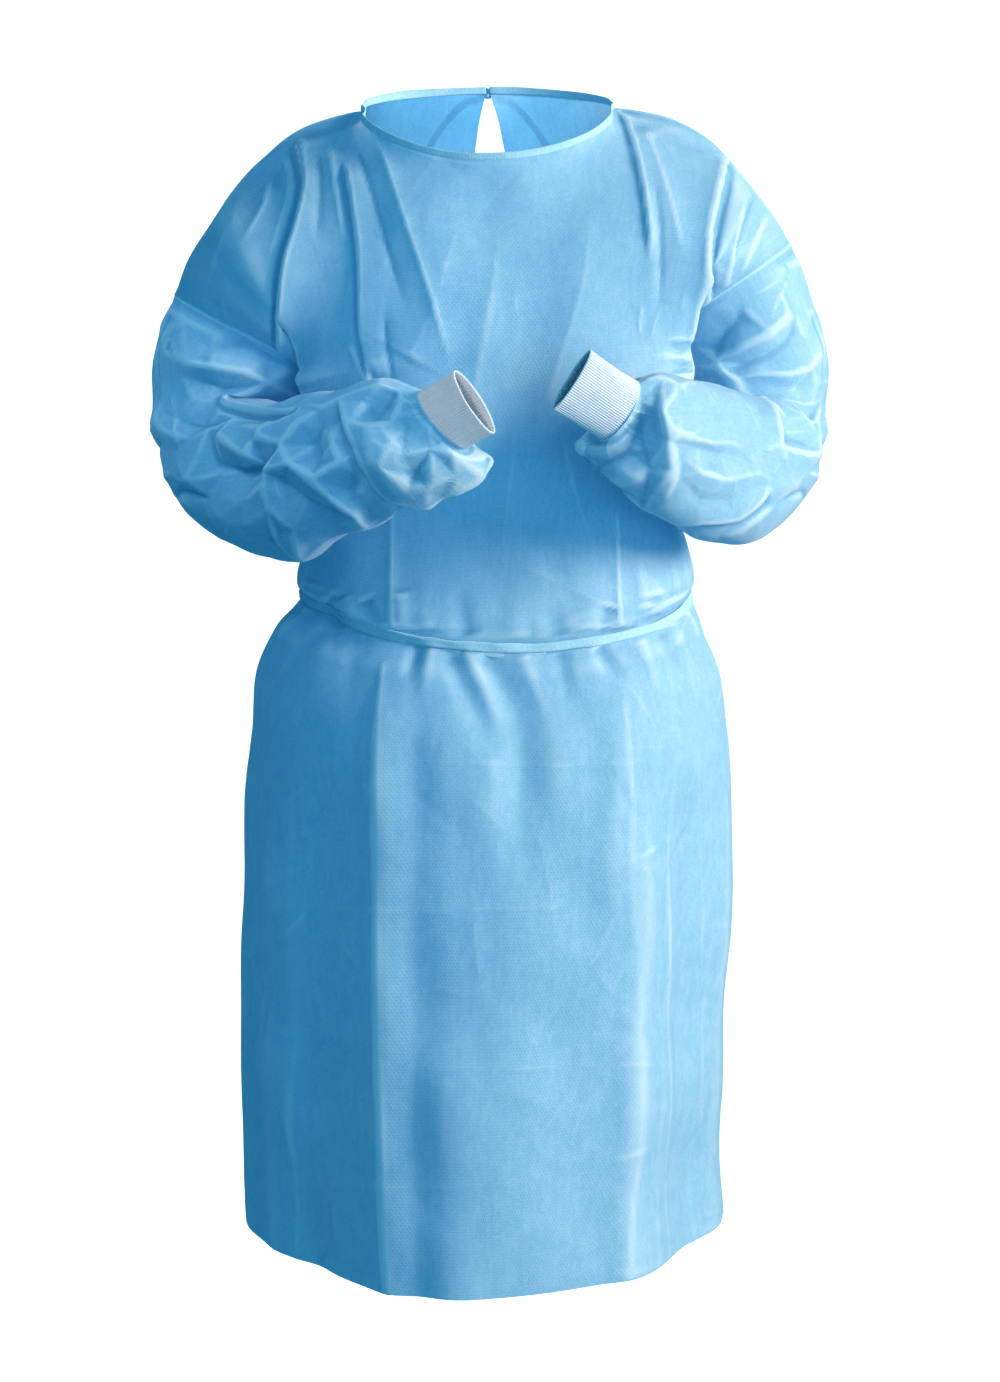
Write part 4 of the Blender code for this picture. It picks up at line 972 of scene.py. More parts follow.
def facets(name, grid, normal, down, across, loop, lines, seed, spacing, tall, calm=0.6, gain=1.0):
    """Heights of cloth that is crumpled into flat facets: the lines' own heights, and a random net between them."""
    rng = np.random.default_rng(seed)
    points, heights, edges = [], [], []
    for line in lines:
        before = None
        for x, y, h in line:
            r, c = photo_vertex(grid, normal, x, y)
            place = (down[r], across[c])
            for k, other in enumerate(points):
                if abs(other[0] - place[0]) + abs(other[1] - place[1]) < 0.002:
                    here = k
                    break
            else:
                points.append(place)
                heights.append(h * 0.001 * gain)
                here = len(points) - 1
            if before is not None and before != here:
                edges.append((before, here))
            before = here
    hand = len(points)
    wide = across[-1] + (across[-1] - across[-2]) if loop else across[-1]
    if loop:
        girth = np.linalg.norm(np.diff(np.concatenate([grid, grid[:, :1]], axis=1), axis=1), axis=2).sum(axis=1)
        narrow = np.clip(girth / wide, 0.3, 1.0)
    else:
        narrow = np.ones(len(down))
    facing = -normal[..., 1]
    for _ in range(6000):
        s, t = rng.uniform(0.0, down[-1]), rng.uniform(0.0, wide)
        r = min(int(np.searchsorted(down, s)), len(down) - 1)
        c = min(int(np.searchsorted(across, t)), len(across) - 1)
        old = np.array(points) if points else np.empty((0, 2))
        if len(old):
            gap = np.abs(old - (s, t))
            if loop:
                gap[:, 1] = np.minimum(gap[:, 1], wide - gap[:, 1])
            far = np.hypot(gap[:, 0], gap[:, 1] * narrow[r])
            if (far[:hand] < 0.62 * spacing).any() or (far[hand:] < spacing).any():
                continue
        points.append((s, t))
        heights.append(0.001 * rng.uniform(-tall, tall) * narrow[r] ** 2 * (calm if facing[r, c] > 0.1 and hand else 1.0))
    count = len(points)
    flat, high, joined = list(points), list(heights), list(edges)
    if loop:
        for turn in (-1, 1):
            base = len(flat)
            flat += [(s, t + turn * wide) for s, t in points]
            high += heights
            joined += [(a + base, b + base) for a, b in edges]
    corners = [(-0.06, across[0] - 0.2), (-0.06, wide + 0.2), (down[-1] + 0.06, wide + 0.2), (down[-1] + 0.06, across[0] - 0.2)]
    flat += corners
    high += [0.0] * 4
    made = delaunay_2d_cdt([Vector(v) for v in flat], joined, [], 0, 1e-6)
    spots = np.array([tuple(v) for v in made[0]])
    level = np.full(len(spots), np.nan)
    for k, source in enumerate(made[3]):
        if source:
            level[k] = high[source[0]]
    for k in np.flatnonzero(np.isnan(level)):      # where two lines cross
        level[k] = np.nanmean([level[v] for f in made[2] if k in f for v in f] + [0.0])
    out = np.zeros(grid.shape[:2])
    for face in made[2]:
        a, b, c = spots[list(face)]
        r0, r1 = np.searchsorted(down, (min(a[0], b[0], c[0]), max(a[0], b[0], c[0]) + 1e-9))
        c0, c1 = np.searchsorted(across, (min(a[1], b[1], c[1]), max(a[1], b[1], c[1]) + 1e-9))
        if r0 >= r1 or c0 >= c1:
            continue
        s, t = np.meshgrid(down[r0:r1], across[c0:c1], indexing="ij")
        area = (b[0] - a[0]) * (c[1] - a[1]) - (c[0] - a[0]) * (b[1] - a[1])
        if abs(area) < 1e-12:
            continue
        wb = ((s - a[0]) * (c[1] - a[1]) - (c[0] - a[0]) * (t - a[1])) / area
        wc = ((b[0] - a[0]) * (t - a[1]) - (s - a[0]) * (b[1] - a[1])) / area
        wa = 1.0 - wb - wc
        inside = (wa > -1e-6) & (wb > -1e-6) & (wc > -1e-6)
        h = wa * level[face[0]] + wb * level[face[1]] + wc * level[face[2]]
        out[r0:r1, c0:c1] = np.where(inside, h, out[r0:r1, c0:c1])
    # Painted light: a pale line along each sharp crest (painted highlight), and a dark one in each deep trough (painted
    # shade).
    painted_lines = np.zeros(grid.shape[:2])
    for i, j in edges:
        a, b = np.array(points[i]), np.array(points[j])
        if abs(b[1] - a[1]) > 0.5 * wide:
            continue
        pad = 0.012
        r0, r1 = np.searchsorted(down, (min(a[0], b[0]) - pad, max(a[0], b[0]) + pad))
        c0, c1 = np.searchsorted(across, (min(a[1], b[1]) - pad, max(a[1], b[1]) + pad))
        if r0 >= r1 or c0 >= c1:
            continue
        s, t = np.meshgrid(down[r0:r1], across[c0:c1], indexing="ij")
        k = narrow[r0:r1, None]
        ds, dt = b[0] - a[0], (b[1] - a[1]) * k
        share = np.clip(((s - a[0]) * ds + (t - a[1]) * k * dt) / (ds * ds + dt * dt + 1e-12), 0.0, 1.0)
        far = np.hypot(s - a[0] - share * ds, (t - a[1]) * k - share * dt)
        tall = ((1.0 - share) * heights[i] + share * heights[j]) * 1000.0 / gain
        here = np.exp(-(far / 0.0017) ** 2) * np.clip(tall / 5.0, -1.0, 1.0)
        block = painted_lines[r0:r1, c0:c1]
        painted_lines[r0:r1, c0:c1] = np.where(np.abs(here) > np.abs(block), here, block)
    PAINTED_LINES[name] = painted_lines
    return blurred(out, loop, 1)


PAINTED_LINES = {}


def blurred(field, loop, times):
    for _ in range(times):
        up = np.concatenate([field[:1], field[:-1]])
        low = np.concatenate([field[1:], field[-1:]])
        field = 0.25 * up + 0.5 * field + 0.25 * low
        if loop:
            left, right = np.roll(field, 1, axis=1), np.roll(field, -1, axis=1)
        else:
            left = np.concatenate([field[:, :1], field[:, :-1]], axis=1)
            right = np.concatenate([field[:, 1:], field[:, -1:]], axis=1)
        field = 0.25 * left + 0.5 * field + 0.25 * right
    return field


# ---- hidden sides, alike: back (x, z mm)
for piece, s in (("back_left", 1), ("back_right", -1)):
    crease(piece, "back", "ridge", 32, 4.5, [(s * 100, -500), (s * 106, -700), (s * 108, -1135)], fade=(0.08, 0.0))
    crease(piece, "back", "ridge", 9, 1.2, [(s * 100, -500), (s * 106, -700), (s * 108, -1135)], fade=(0.05, 0.0))
    crease(piece, "back", "ridge", 20, 2.4, [(s * 104, -60), (s * 102, -240), (s * 100, -470)], fade=(0.15, 0.05))
    crease(piece, "back", "soft", 40, -3.5, [(s * 160, -620), (s * 168, -860), (s * 170, -1135)], fade=(0.3, 0.0))
    crease(piece, "back", "soft", 32, -3.0, [(s * 48, -620), (s * 50, -860), (s * 54, -1100)], fade=(0.3, 0.3))
    crease(piece, "back", "ridge", 12, 2.6, [(s * 122, -10), (s * 96, -120), (s * 64, -240)], fade=(0.05, 0.4))
    crease(piece, "back", "pleat", 18, 3.0, [(s * 150, -20), (s * 158, -110), (s * 148, -230)], fade=(0.1, 0.3), side=s)
    crease(piece, "back", "valley", 10, 2.6, [(s * 196, -60), (s * 204, -130), (s * 188, -210)], fade=(0.2, 0.3))
    crease(piece, "back", "ridge", 10, 2.2, [(s * 236, -80), (s * 226, -150), (s * 200, -220)], fade=(0.2, 0.3))
    crease(piece, "back", "ridge", 14, 2.2, [(s * 60, -300), (s * 72, -380), (s * 66, -460)], fade=(0.3, 0.3))
    crease(piece, "back", "soft", 14, -2.4, [(s * 128, -290), (s * 120, -370), (s * 130, -450)], fade=(0.3, 0.3))
    crease(piece, "back", "ridge", 9, 0.8, [(s * 20, -760), (s * 120, -764), (s * 220, -758)], fade=(0.3, 0.3))
    crease(piece, "back", "ridge", 9, 0.7, [(s * 30, -930), (s * 130, -926), (s * 230, -934)], fade=(0.3, 0.3))
    for k, (x, low, w, h) in enumerate((
        (14, 120, 9, -2.8), (30, 70, 8, 2.2), (46, 150, 10, -3.0), (66, 80, 9, 2.4), (84, 130, 9, -2.6),
        (112, 90, 9, 2.4), (132, 160, 11, -3.0), (156, 80, 9, 2.2), (176, 110, 9, -2.6),
    )):
        lean = (6, -4, 10, 2, -8)[k % 5] * s
        crease(piece, "back", "soft", w, h, [(s * x, -486), (s * x + lean, -486 - 0.5 * low), (s * x + 2 * lean, -486 - low)], fade=(0.1, 0.75))
        up = 50 + 12 * ((k * 7) % 5)
        crease(piece, "back", "soft", w, -0.8 * h, [(s * x, -476), (s * x - lean, -476 + 0.5 * up), (s * x - lean, -476 + up)], fade=(0.1, 0.75))
# Sides of the skirt (y, z mm), on the front and back panels beside the side seam.
for view, s in (("left", 1), ("right", -1)):
    for piece in ("front", "back_left" if s > 0 else "back_right"):
        crease(piece, view, "soft", 26, -3.0, [(-60, -560), (-74, -800), (-80, -1135)], fade=(0.3, 0.0))
        crease(piece, view, "ridge", 24, 2.6, [(-110, -540), (-126, -800), (-130, -1135)], fade=(0.3, 0.0))
        crease(piece, view, "soft", 28, -2.6, [(60, -560), (76, -800), (84, -1135)], fade=(0.3, 0.0))
        crease(piece, view, "ridge", 22, 2.0, [(112, -540), (120, -800), (124, -1135)], fade=(0.3, 0.0))
        for y, low, h in ((-90, 90, -2.8), (-50, 60, 2.2), (-14, 110, -2.6), (24, 70, 2.2), (62, 100, -2.8)):
            crease(piece, view, "soft", 9, h, [(y, -486), (y + 4, -486 - 0.5 * low), (y, -486 - low)], fade=(0.1, 0.75))
            crease(piece, view, "soft", 9, -0.8 * h, [(y, -476), (y - 4, -476 + 35), (y - 6, -476 + 66)], fade=(0.1, 0.75))
# Outer and back faces of the sleeves (y, z mm) and (x, z mm).
for name, view, s in (("sleeve_left", "left", 1), ("sleeve_right", "right", -1)):
    crease(name, view, "ridge", 12, 3.2, [(-40, -300), (-10, -318), (30, -316), (60, -300)], fade=(0.3, 0.3))
    crease(name, view, "valley", 11, 3.6, [(-60, -322), (-20, -336), (24, -334), (56, -322)], fade=(0.3, 0.3))
    crease(name, view, "ridge", 11, 3.0, [(-90, -352), (-50, -358), (-8, -366), (20, -372)], fade=(0.3, 0.3))
    crease(name, view, "valley", 10, 3.0, [(-120, -380), (-80, -372), (-40, -384)], fade=(0.3, 0.3))
    crease(name, view, "ridge", 10, 2.4, [(10, -190), (14, -240), (0, -290)], fade=(0.1, 0.4))
    crease(name, view, "valley", 10, 2.2, [(-30, -200), (-24, -240), (-34, -280)], fade=(0.1, 0.4))
    crease(name, "back", "ridge", 12, 3.0, [(s * 210, -260), (s * 240, -292), (s * 290, -306)], fade=(0.2, 0.3))
    crease(name, "back", "valley", 11, 3.4, [(s * 200, -290), (s * 236, -318), (s * 284, -330)], fade=(0.2, 0.3))
    crease(name, "back", "ridge", 11, 3.0, [(s * 206, -344), (s * 240, -352), (s * 276, -366)], fade=(0.3, 0.3))
    crease(name, "back", "ridge", 10, 2.4, [(s * 170, -380), (s * 200, -392), (s * 230, -404)], fade=(0.3, 0.3))
    crease(name, "back", "valley", 10, 2.6, [(s * 150, -350), (s * 186, -366), (s * 214, -384)], fade=(0.3, 0.3))

# ---------------------------------------------------------------- the cloth takes its creases
grids = {name: g for name, (g, _) in PIECES.items()}
NORMALS = normals_of(grids)
parts = {name: grids[name] for name in grids}
LEVELS = [
    crumple_heights(parts, 11, 260, (0.05, 0.15), (0.006, 0.013), (0.0006, 0.0019)),
    crumple_heights(parts, 12, 420, (0.02, 0.06), (0.004, 0.008), (0.0004, 0.0011)),
]


def swell(p):
    """Slow unevenness of cloth that was folded flat, in metres."""
    x, y, z = p[..., 0], p[..., 1], p[..., 2]
    return 0.0016 * (
        np.sin(31 * x + 9 * z + 1.3) * np.sin(23 * z - 8 * y + 0.4)
        + 0.6 * np.sin(52 * x - 17 * y + 2.1) * np.sin(41 * z + 13 * x + 1.0)
    )


STRENGTH = {"front": 1.0, "back_left": 1.2, "back_right": 1.2, "sleeve_left": 1.4, "sleeve_right": 1.4}
shaped = {}
for name, g in grids.items():
    n = NORMALS[name]
    far = smooth(SEAM_FAR[name], 0.0, 0.012)
    height = crease_heights(name, g, n) * far * STRENGTH[name]
    if name in FOLD_LINES:
        at = sr_at if name == "sleeve_right" else sl_at
        turn = around_at * (0.42 / (2.0 * half_round[-1]))
        height = height + facets(name, g, n, at, turn, True, FOLD_LINES[name], 21, 0.030, 4.2, gain=1.8 if name == "sleeve_right" else 1.1) * far
    else:
        turn = np.concatenate([-cols_at[:0:-1], cols_at]) - (-cols_at[-1]) if name == "front" else cols_at
        height = height + facets(name, g, n, rows_at, turn, False, [], 31 + len(name), 0.062, 2.0) * smooth(SEAM_FAR[name], 0.0, 0.03)
    height = height + sum(level[name] for level in LEVELS) * (0.9 if name in FOLD_LINES else 0.42) + swell(g)
    if not PIECES[name][1]:
        d = rows_at[:, None] - belt_at
        height = height - 0.0030 * np.exp(-(d / 0.0075) ** 2) + 0.0013 * np.exp(-((np.abs(d) - 0.026) / 0.014) ** 2)
    if name == "sleeve_left":                  # the inside of the elbow is pressed flat
        px = pixel_of(g)
        height = height * (1.0 - np.exp(-((px[..., 0] - 757) / 22.0) ** 2 - ((px[..., 1] - 388) / 20.0) ** 2))
    seam = np.exp(-(SEAM_FAR[name] / 0.0022) ** 2) * 0.0009
    height = height + seam
    shaped[name] = g + n * height[..., None]

# ---------------------------------------------------------------- gathers at the cuffs
def sleeve_gathers(name, grid, normals, places, seed, puffs, pushes, deep):
    """Ballooned end and small pleats that run into the cuff seam."""
    rng = np.random.default_rng(seed)
    share = places / places[-1]
    turn = np.concatenate([around_at, [around[-1]]])[:-1] / around[-1]
    left = (places[-1] - places)[:, None]
    height = np.zeros(grid.shape[:2])
    for s, a, ds, da, h in puffs:
        da_ = (turn - a + 0.5) % 1.0 - 0.5
        height += h * 0.001 * np.exp(-((share[:, None] - s) / ds) ** 2 - (da_[None, :] / da) ** 2)
    for _ in range(26):
        a, w = rng.uniform(0.0, 1.0), rng.uniform(0.008, 0.016)
        long, h = rng.uniform(0.008, 0.026), rng.uniform(0.0010, 0.0024) * rng.choice([-1.0, 1.0]) * deep
        lean = rng.uniform(-0.6, 0.6)
        da_ = (turn[None, :] - a + lean * left + 0.5) % 1.0 - 0.5
        height += h * np.exp(-1.5 * np.sqrt((da_ / w) ** 2 + 0.01)) * np.exp(-left / long)
    height *= smooth(left, 0.0, 0.006)
    out = grid + normals * height[..., None]
    for s, a, ds, da, move in pushes:      # the loose end droops past the seam, towards the hand
        da_ = (turn - a + 0.5) % 1.0 - 0.5
        share_of = np.exp(-((share[:, None] - s) / ds) ** 2 - 1.3 * np.sqrt((da_[None, :] / da) ** 2 + 0.003)) * smooth(left, 0.0, 0.009)
        out = out + share_of[..., None] * np.array(move) * 0.001
    return out


WORK = normals_of(shaped)
shaped["sleeve_right"] = sleeve_gathers("sleeve_right", shaped["sleeve_right"], WORK["sleeve_right"], sr_at, 5, [
    (0.925, 0.74, 0.045, 0.13, 7.0), (0.90, 0.52, 0.05, 0.10, 4.0), (0.955, 0.62, 0.03, 0.07, 2.0),
], [
    (0.965, 0.83, 0.036, 0.16, (25, -2, 0)), (0.895, 0.71, 0.030, 0.08, (-1, -1, -13)),
    (0.945, 0.765, 0.020, 0.07, (6, -1, -8)),
], 0.8)
shaped["sleeve_left"] = sleeve_gathers("sleeve_left", shaped["sleeve_left"], WORK["sleeve_left"], sl_at, 6, [
    (0.93, 0.70, 0.045, 0.12, 5.0), (0.88, 0.52, 0.05, 0.12, 3.0),
], [
    (0.965, 0.82, 0.036, 0.12, (-22, -3, 2)), (0.92, 0.80, 0.022, 0.06, (-7, -1, 1)),
], 1.0)

# The loose end of the wearer's right sleeve is one flat panel, folded over and creased into a few plane
# facets. Each is a frame pixel and how far it stands towards the viewer, in mm.
END_PANEL = [
    (431, 448, 1.0), (453, 453, 7.0), (484, 478, 1.5), (493, 440, -5.0), (456, 475, 3.0), (416, 474, -4.0),
    (441, 498, -2.0), (427, 513, 2.0), (398, 500, 3.0), (362, 449, 4.0), (392, 440, 4.0), (378, 466, 6.5),
    (407, 424, -3.0), (408, 492, 3.5), (430, 486, 3.5), (347, 424, 2.0), (404, 455, 0.5),
    (330, 412, 0), (345, 456, 0), (366, 486, 0), (388, 514, 0), (424, 530, 0), (452, 516, 0), (500, 500, 0),
    (508, 430, 0), (470, 420, 0), (430, 410, 0), (400, 395, 0), (360, 398, 0),
]


# The wearer's left sleeve end: a ridge beside the cuff, and the cloth that falls back behind it.
LEFT_END = [
    (663, 380, 1.0), (661, 408, 7.0), (667, 440, 7.5), (672, 468, 3.0), (642, 402, -1.0), (640, 430, -7.0),
    (628, 452, -8.0), (650, 468, -4.0), (608, 446, -3.0), (600, 468, -8.0), (586, 452, -2.0), (618, 488, -3.0),
    (690, 420, 0.5), (592, 430, 0), (625, 398, 0), (650, 372, 0), (690, 378, 0), (704, 430, 0), (698, 486, 0),
    (640, 516, 0), (600, 502, 0), (572, 466, 0),
]


def panel_field(places, x, y):
    """Plane facets between listed points, in frame pixels."""
    spots = np.array([v[:2] for v in places], float)
    made = delaunay_2d_cdt([Vector(v) for v in spots], [], [], 0, 1e-6)
    order = [source[0] for source in made[3]]
    flat = np.array([tuple(v) for v in made[0]])
    field = np.zeros(x.shape)
    for face in made[2]:
        a, b, c = flat[list(face)]
        area = (b[0] - a[0]) * (c[1] - a[1]) - (c[0] - a[0]) * (b[1] - a[1])
        wb = ((x - a[0]) * (c[1] - a[1]) - (c[0] - a[0]) * (y - a[1])) / area
        wc = ((b[0] - a[0]) * (y - a[1]) - (x - a[0]) * (b[1] - a[1])) / area
        wa = 1.0 - wb - wc
        inside = (wa > -1e-6) & (wb > -1e-6) & (wc > -1e-6)
        high = [places[order[v]][2] for v in face]
        field = np.where(inside, wa * high[0] + wb * high[1] + wc * high[2], field)
    return field


def left_end(grid, normals, places):
    left = (places[-1] - places)[:, None]
    px = pixel_of(grid)
    front = smooth(-normals[..., 1], 0.0, 0.3) * smooth(left, 0.001, 0.008) * smooth(0.13 - left, 0.0, 0.03)
    out = grid.copy()
    out[..., 1] -= 0.0013 * panel_field(LEFT_END, px[..., 0], px[..., 1]) * front
    return out


def end_panel(grid, normals, places):
    left = (places[-1] - places)[:, None]
    px = pixel_of(grid)
    x, y = px[..., 0], px[..., 1]
    late = smooth(0.115 - left, 0.0, 0.03)
    # The lower edge is drawn up, with a small notch beside its tip.
    up = 15.0 * smooth(y, 448, 500) * smooth(x, 384, 424) + 5.0 * bump(x, 444, 15) * smooth(y, 478, 500)
    out = grid.copy()
    out[..., 2] += 0.001 * up * late * smooth(left, 0.0, 0.010)
    px = pixel_of(out)
    x, y = px[..., 0], px[..., 1]
    near = smooth(x, 352, 372) * smooth(y, 412, 432) * late * smooth(left, 0.001, 0.008)
    front = blurred(smooth(-normals[..., 1], 0.0, 0.30), True, 10) * near
    # One slightly bowed plane takes the place of the crumpled ground.
    u, w = (x - 430.0) / 60.0, (y - 470.0) / 60.0
    basis = np.stack([np.ones_like(u), u, w, u * u, u * w, w * w], axis=-1)
    held = (front > 0.6).ravel()
    fit, *_ = np.linalg.lstsq(basis.reshape(-1, 6)[held], out[..., 1].ravel()[held], rcond=None)
    depth = out[..., 1] + front * (basis @ fit - out[..., 1])
    field = panel_field(END_PANEL, x, y)
    out[..., 1] = depth - 0.0013 * field * front
    return out


WORK = normals_of(shaped)
shaped["sleeve_right"] = end_panel(shaped["sleeve_right"], WORK["sleeve_right"], sr_at)
shaped["sleeve_left"] = left_end(shaped["sleeve_left"], WORK["sleeve_left"], sl_at)
SHAPED_N = normals_of(shaped)


def folds_of(name):
    """How sharply the cloth is folded at each place: above 0 on a crest, below 0 in a trough."""
    grid, loop = shaped[name], PIECES[name][1]
    rounded = np.stack([blurred(grid[..., k], loop, 1 if FINE > 1.0 else 2) for k in range(3)], axis=-1)
    proud = ((grid - rounded) * SHAPED_N[name]).sum(axis=2)
    proud[0] = proud[-1] = 0.0
    if not loop:
        proud[:, 0] = proud[:, -1] = 0.0
    return proud * 1000.0


FOLDS = {name: folds_of(name) for name in shaped}
# The sleeves' painted highlight and shade lines are added to the fold values that tint the cloth's colour.
for name in FOLD_LINES:
    FOLDS[name] = FOLDS[name] + (0.30 if name == "sleeve_right" else 0.12) * PAINTED_LINES[name]
for name, fold in FOLDS.items():
    print("FOLDS", name, np.round(np.percentile(fold, [1, 5, 25, 50, 75, 95, 99]), 3))


# ---------------------------------------------------------------- belt line
BELT_LINE = [
    (300, 590), (306, 601), (330, 611), (360, 622), (392, 633), (415, 640), (450, 645), (500, 648),
    (540, 649), (600, 641), (620, 637), (660, 626), (690, 607),
]


def at_place(grid, place):
    """The points of a grid's columns at one row place each."""
    place = np.broadcast_to(place, (grid.shape[1],))
    out = np.empty((grid.shape[1], grid.shape[2]))
    for axis in range(grid.shape[2]):
        for c in range(grid.shape[1]):
            out[c, axis] = np.interp(place[c], rows_at, grid[:, c, axis])
    return out

# ---------------------------------------------------------------- materials
def add(tree, kind, **values):
    node = tree.nodes.new(kind)
    for key, value in values.items():
        if hasattr(node, key):
            setattr(node, key, value)
        else:
            node.inputs[key.replace("_", " ")].default_value = value
    return node


def math_node(tree, operation, a, b=None, c=None, clamp=False):
    node = tree.nodes.new("ShaderNodeMath")
    node.operation, node.use_clamp = operation, clamp
    for socket, value in zip(node.inputs, (a, b, c)):
        if value is None:
            continue
        if isinstance(value, (int, float)):
            socket.default_value = value
        else:
            tree.links.new(value, socket)
    return node.outputs[0]


def mix_colour(tree, share, a, b, blend="MIX"):
    node = tree.nodes.new("ShaderNodeMix")
    node.data_type, node.blend_type = "RGBA", blend
    for socket, value in ((node.inputs[0], share), (node.inputs[6], a), (node.inputs[7], b)):
        if isinstance(value, (int, float)):
            socket.default_value = value
        elif isinstance(value, tuple):
            socket.default_value = (*value, 1.0)
        else:
            tree.links.new(value, socket)
    return node.outputs[2]


def noise(tree, vector, scale, detail=3.0, rough=0.55, distortion=0.0):
    node = tree.nodes.new("ShaderNodeTexNoise")
    tree.links.new(vector, node.inputs["Vector"])
    node.inputs["Scale"].default_value = scale
    node.inputs["Detail"].default_value = detail
    node.inputs["Roughness"].default_value = rough
    node.inputs["Distortion"].default_value = distortion
    return node.outputs["Fac"]


def remap(tree, value, low, high, to_low=0.0, to_high=1.0):
    node = tree.nodes.new("ShaderNodeMapRange")
    tree.links.new(value, node.inputs["Value"])
    node.inputs["From Min"].default_value = low
    node.inputs["From Max"].default_value = high
    node.inputs["To Min"].default_value = to_low
    node.inputs["To Max"].default_value = to_high
    return node.outputs["Result"]


def stretched(tree, vector, scale):
    node = tree.nodes.new("ShaderNodeVectorMath")
    node.operation = "MULTIPLY"
    tree.links.new(vector, node.inputs[0])
    node.inputs[1].default_value = scale
    return node.outputs[0]


def dots(tree, uv, pitch, radius):
    """1 on the bond dots of a staggered lattice, in metres of cloth."""
    split = tree.nodes.new("ShaderNodeSeparateXYZ")
    tree.links.new(stretched(tree, uv, (1.0 / pitch, 1.0 / pitch, 1.0)), split.inputs[0])
    row = math_node(tree, "FLOOR", split.outputs[1])
    odd = math_node(tree, "MULTIPLY", math_node(tree, "MODULO", row, 2.0), 0.5)
    x = math_node(tree, "SUBTRACT", math_node(tree, "FRACT", math_node(tree, "ADD", split.outputs[0], odd)), 0.5)
    y = math_node(tree, "SUBTRACT", math_node(tree, "FRACT", split.outputs[1]), 0.5)
    far = math_node(tree, "SQRT", math_node(tree, "ADD", math_node(tree, "MULTIPLY", x, x), math_node(tree, "MULTIPLY", y, y)))
    return remap(tree, far, radius + 0.10, radius - 0.06)


def nonwoven(name, deep, mid_tone, pale, through=0.28, rough=0.62, dot_pitch=0.0030):
    material = bpy.data.materials.new(name)
    material.use_nodes = True
    tree = material.node_tree
    tree.nodes.clear()
    out = tree.nodes.new("ShaderNodeOutputMaterial")
    place = tree.nodes.new("ShaderNodeTexCoord")
    obj, uv = place.outputs["Object"], place.outputs["UV"]
    # Uneven fibre density: soft clouds, short streaks along the web, and fine flecks.
    clouds = noise(tree, obj, 34.0, 5.0, 0.68)
    streaks = noise(tree, stretched(tree, uv, (160.0, 46.0, 1.0)), 1.0, 3.0, 0.6)
    flecks = noise(tree, obj, 420.0, 2.0, 0.6)
    density = math_node(tree, "ADD", math_node(tree, "MULTIPLY", remap(tree, clouds, 0.30, 0.70), 0.26),
                        math_node(tree, "MULTIPLY", remap(tree, streaks, 0.28, 0.72), 0.34))
    density = math_node(tree, "ADD", density, math_node(tree, "MULTIPLY", remap(tree, flecks, 0.3, 0.7), 0.34))
    low = remap(tree, density, 0.15, 0.55)
    high = remap(tree, density, 0.45, 0.95)
    colour = mix_colour(tree, low, deep, mid_tone)
    colour = mix_colour(tree, high, colour, pale)
    bond = dots(tree, uv, dot_pitch, 0.20)
    colour = mix_colour(tree, math_node(tree, "MULTIPLY", bond, 0.22), colour, deep)
    # Seams: doubled cloth is paler.
    attribute = tree.nodes.new("ShaderNodeAttribute")
    attribute.attribute_name = "seam_mm"
    near = remap(tree, attribute.outputs["Fac"], 2.0, 0.6)
    colour = mix_colour(tree, math_node(tree, "MULTIPLY", near, 0.5), colour, tuple(min(1.0, 1.25 * v + 0.06) for v in pale))
    # Painted light: the cloth is painted paler along its crests (painted highlight), and darker in its troughs (painted
    # shade).
    fold = tree.nodes.new("ShaderNodeAttribute")
    fold.attribute_name = "fold"
    painted_crest_highlight = remap(tree, fold.outputs["Fac"], 0.05, 0.34)
    painted_trough_shade = remap(tree, fold.outputs["Fac"], -0.06, -0.42)
    colour = mix_colour(tree, math_node(tree, "MULTIPLY", painted_trough_shade, 0.50), colour, tuple(v * f for v, f in zip(deep, (0.42, 0.62, 0.72))))
    colour = mix_colour(tree, math_node(tree, "MULTIPLY", painted_crest_highlight, 0.62), colour, tuple(min(1.0, v + f) for v, f in zip(pale, (0.30, 0.20, 0.10))))
    height = math_node(tree, "SUBTRACT", math_node(tree, "MULTIPLY", flecks, 0.35), math_node(tree, "MULTIPLY", bond, 0.8))
    height = math_node(tree, "ADD", height, math_node(tree, "MULTIPLY", streaks, 0.5))
    bump_node = tree.nodes.new("ShaderNodeBump")
    bump_node.inputs["Strength"].default_value = 0.55
    bump_node.inputs["Distance"].default_value = 0.00022
    tree.links.new(height, bump_node.inputs["Height"])
    bsdf = tree.nodes.new("ShaderNodeBsdfPrincipled")
    tree.links.new(colour, bsdf.inputs["Base Color"])
    tree.links.new(bump_node.outputs[0], bsdf.inputs["Normal"])
    tree.links.new(remap(tree, density, 0.2, 0.8, rough + 0.08, rough - 0.06), bsdf.inputs["Roughness"])
    bsdf.inputs["Specular IOR Level"].default_value = 0.28
    bsdf.inputs["Sheen Weight"].default_value = 0.34
    bsdf.inputs["Sheen Roughness"].default_value = 0.45
    bsdf.inputs["Sheen Tint"].default_value = (0.86, 0.95, 1.0, 1.0)
    glow = tree.nodes.new("ShaderNodeBsdfTranslucent")
    tree.links.new(mix_colour(tree, 0.35, colour, (0.55, 0.86, 1.0)), glow.inputs["Color"])
    tree.links.new(bump_node.outputs[0], glow.inputs["Normal"])
    both = tree.nodes.new("ShaderNodeMixShader")
    both.inputs[0].default_value = through
    tree.links.new(bsdf.outputs[0], both.inputs[1])
    tree.links.new(glow.outputs[0], both.inputs[2])
    tree.links.new(both.outputs[0], out.inputs["Surface"])
    return material


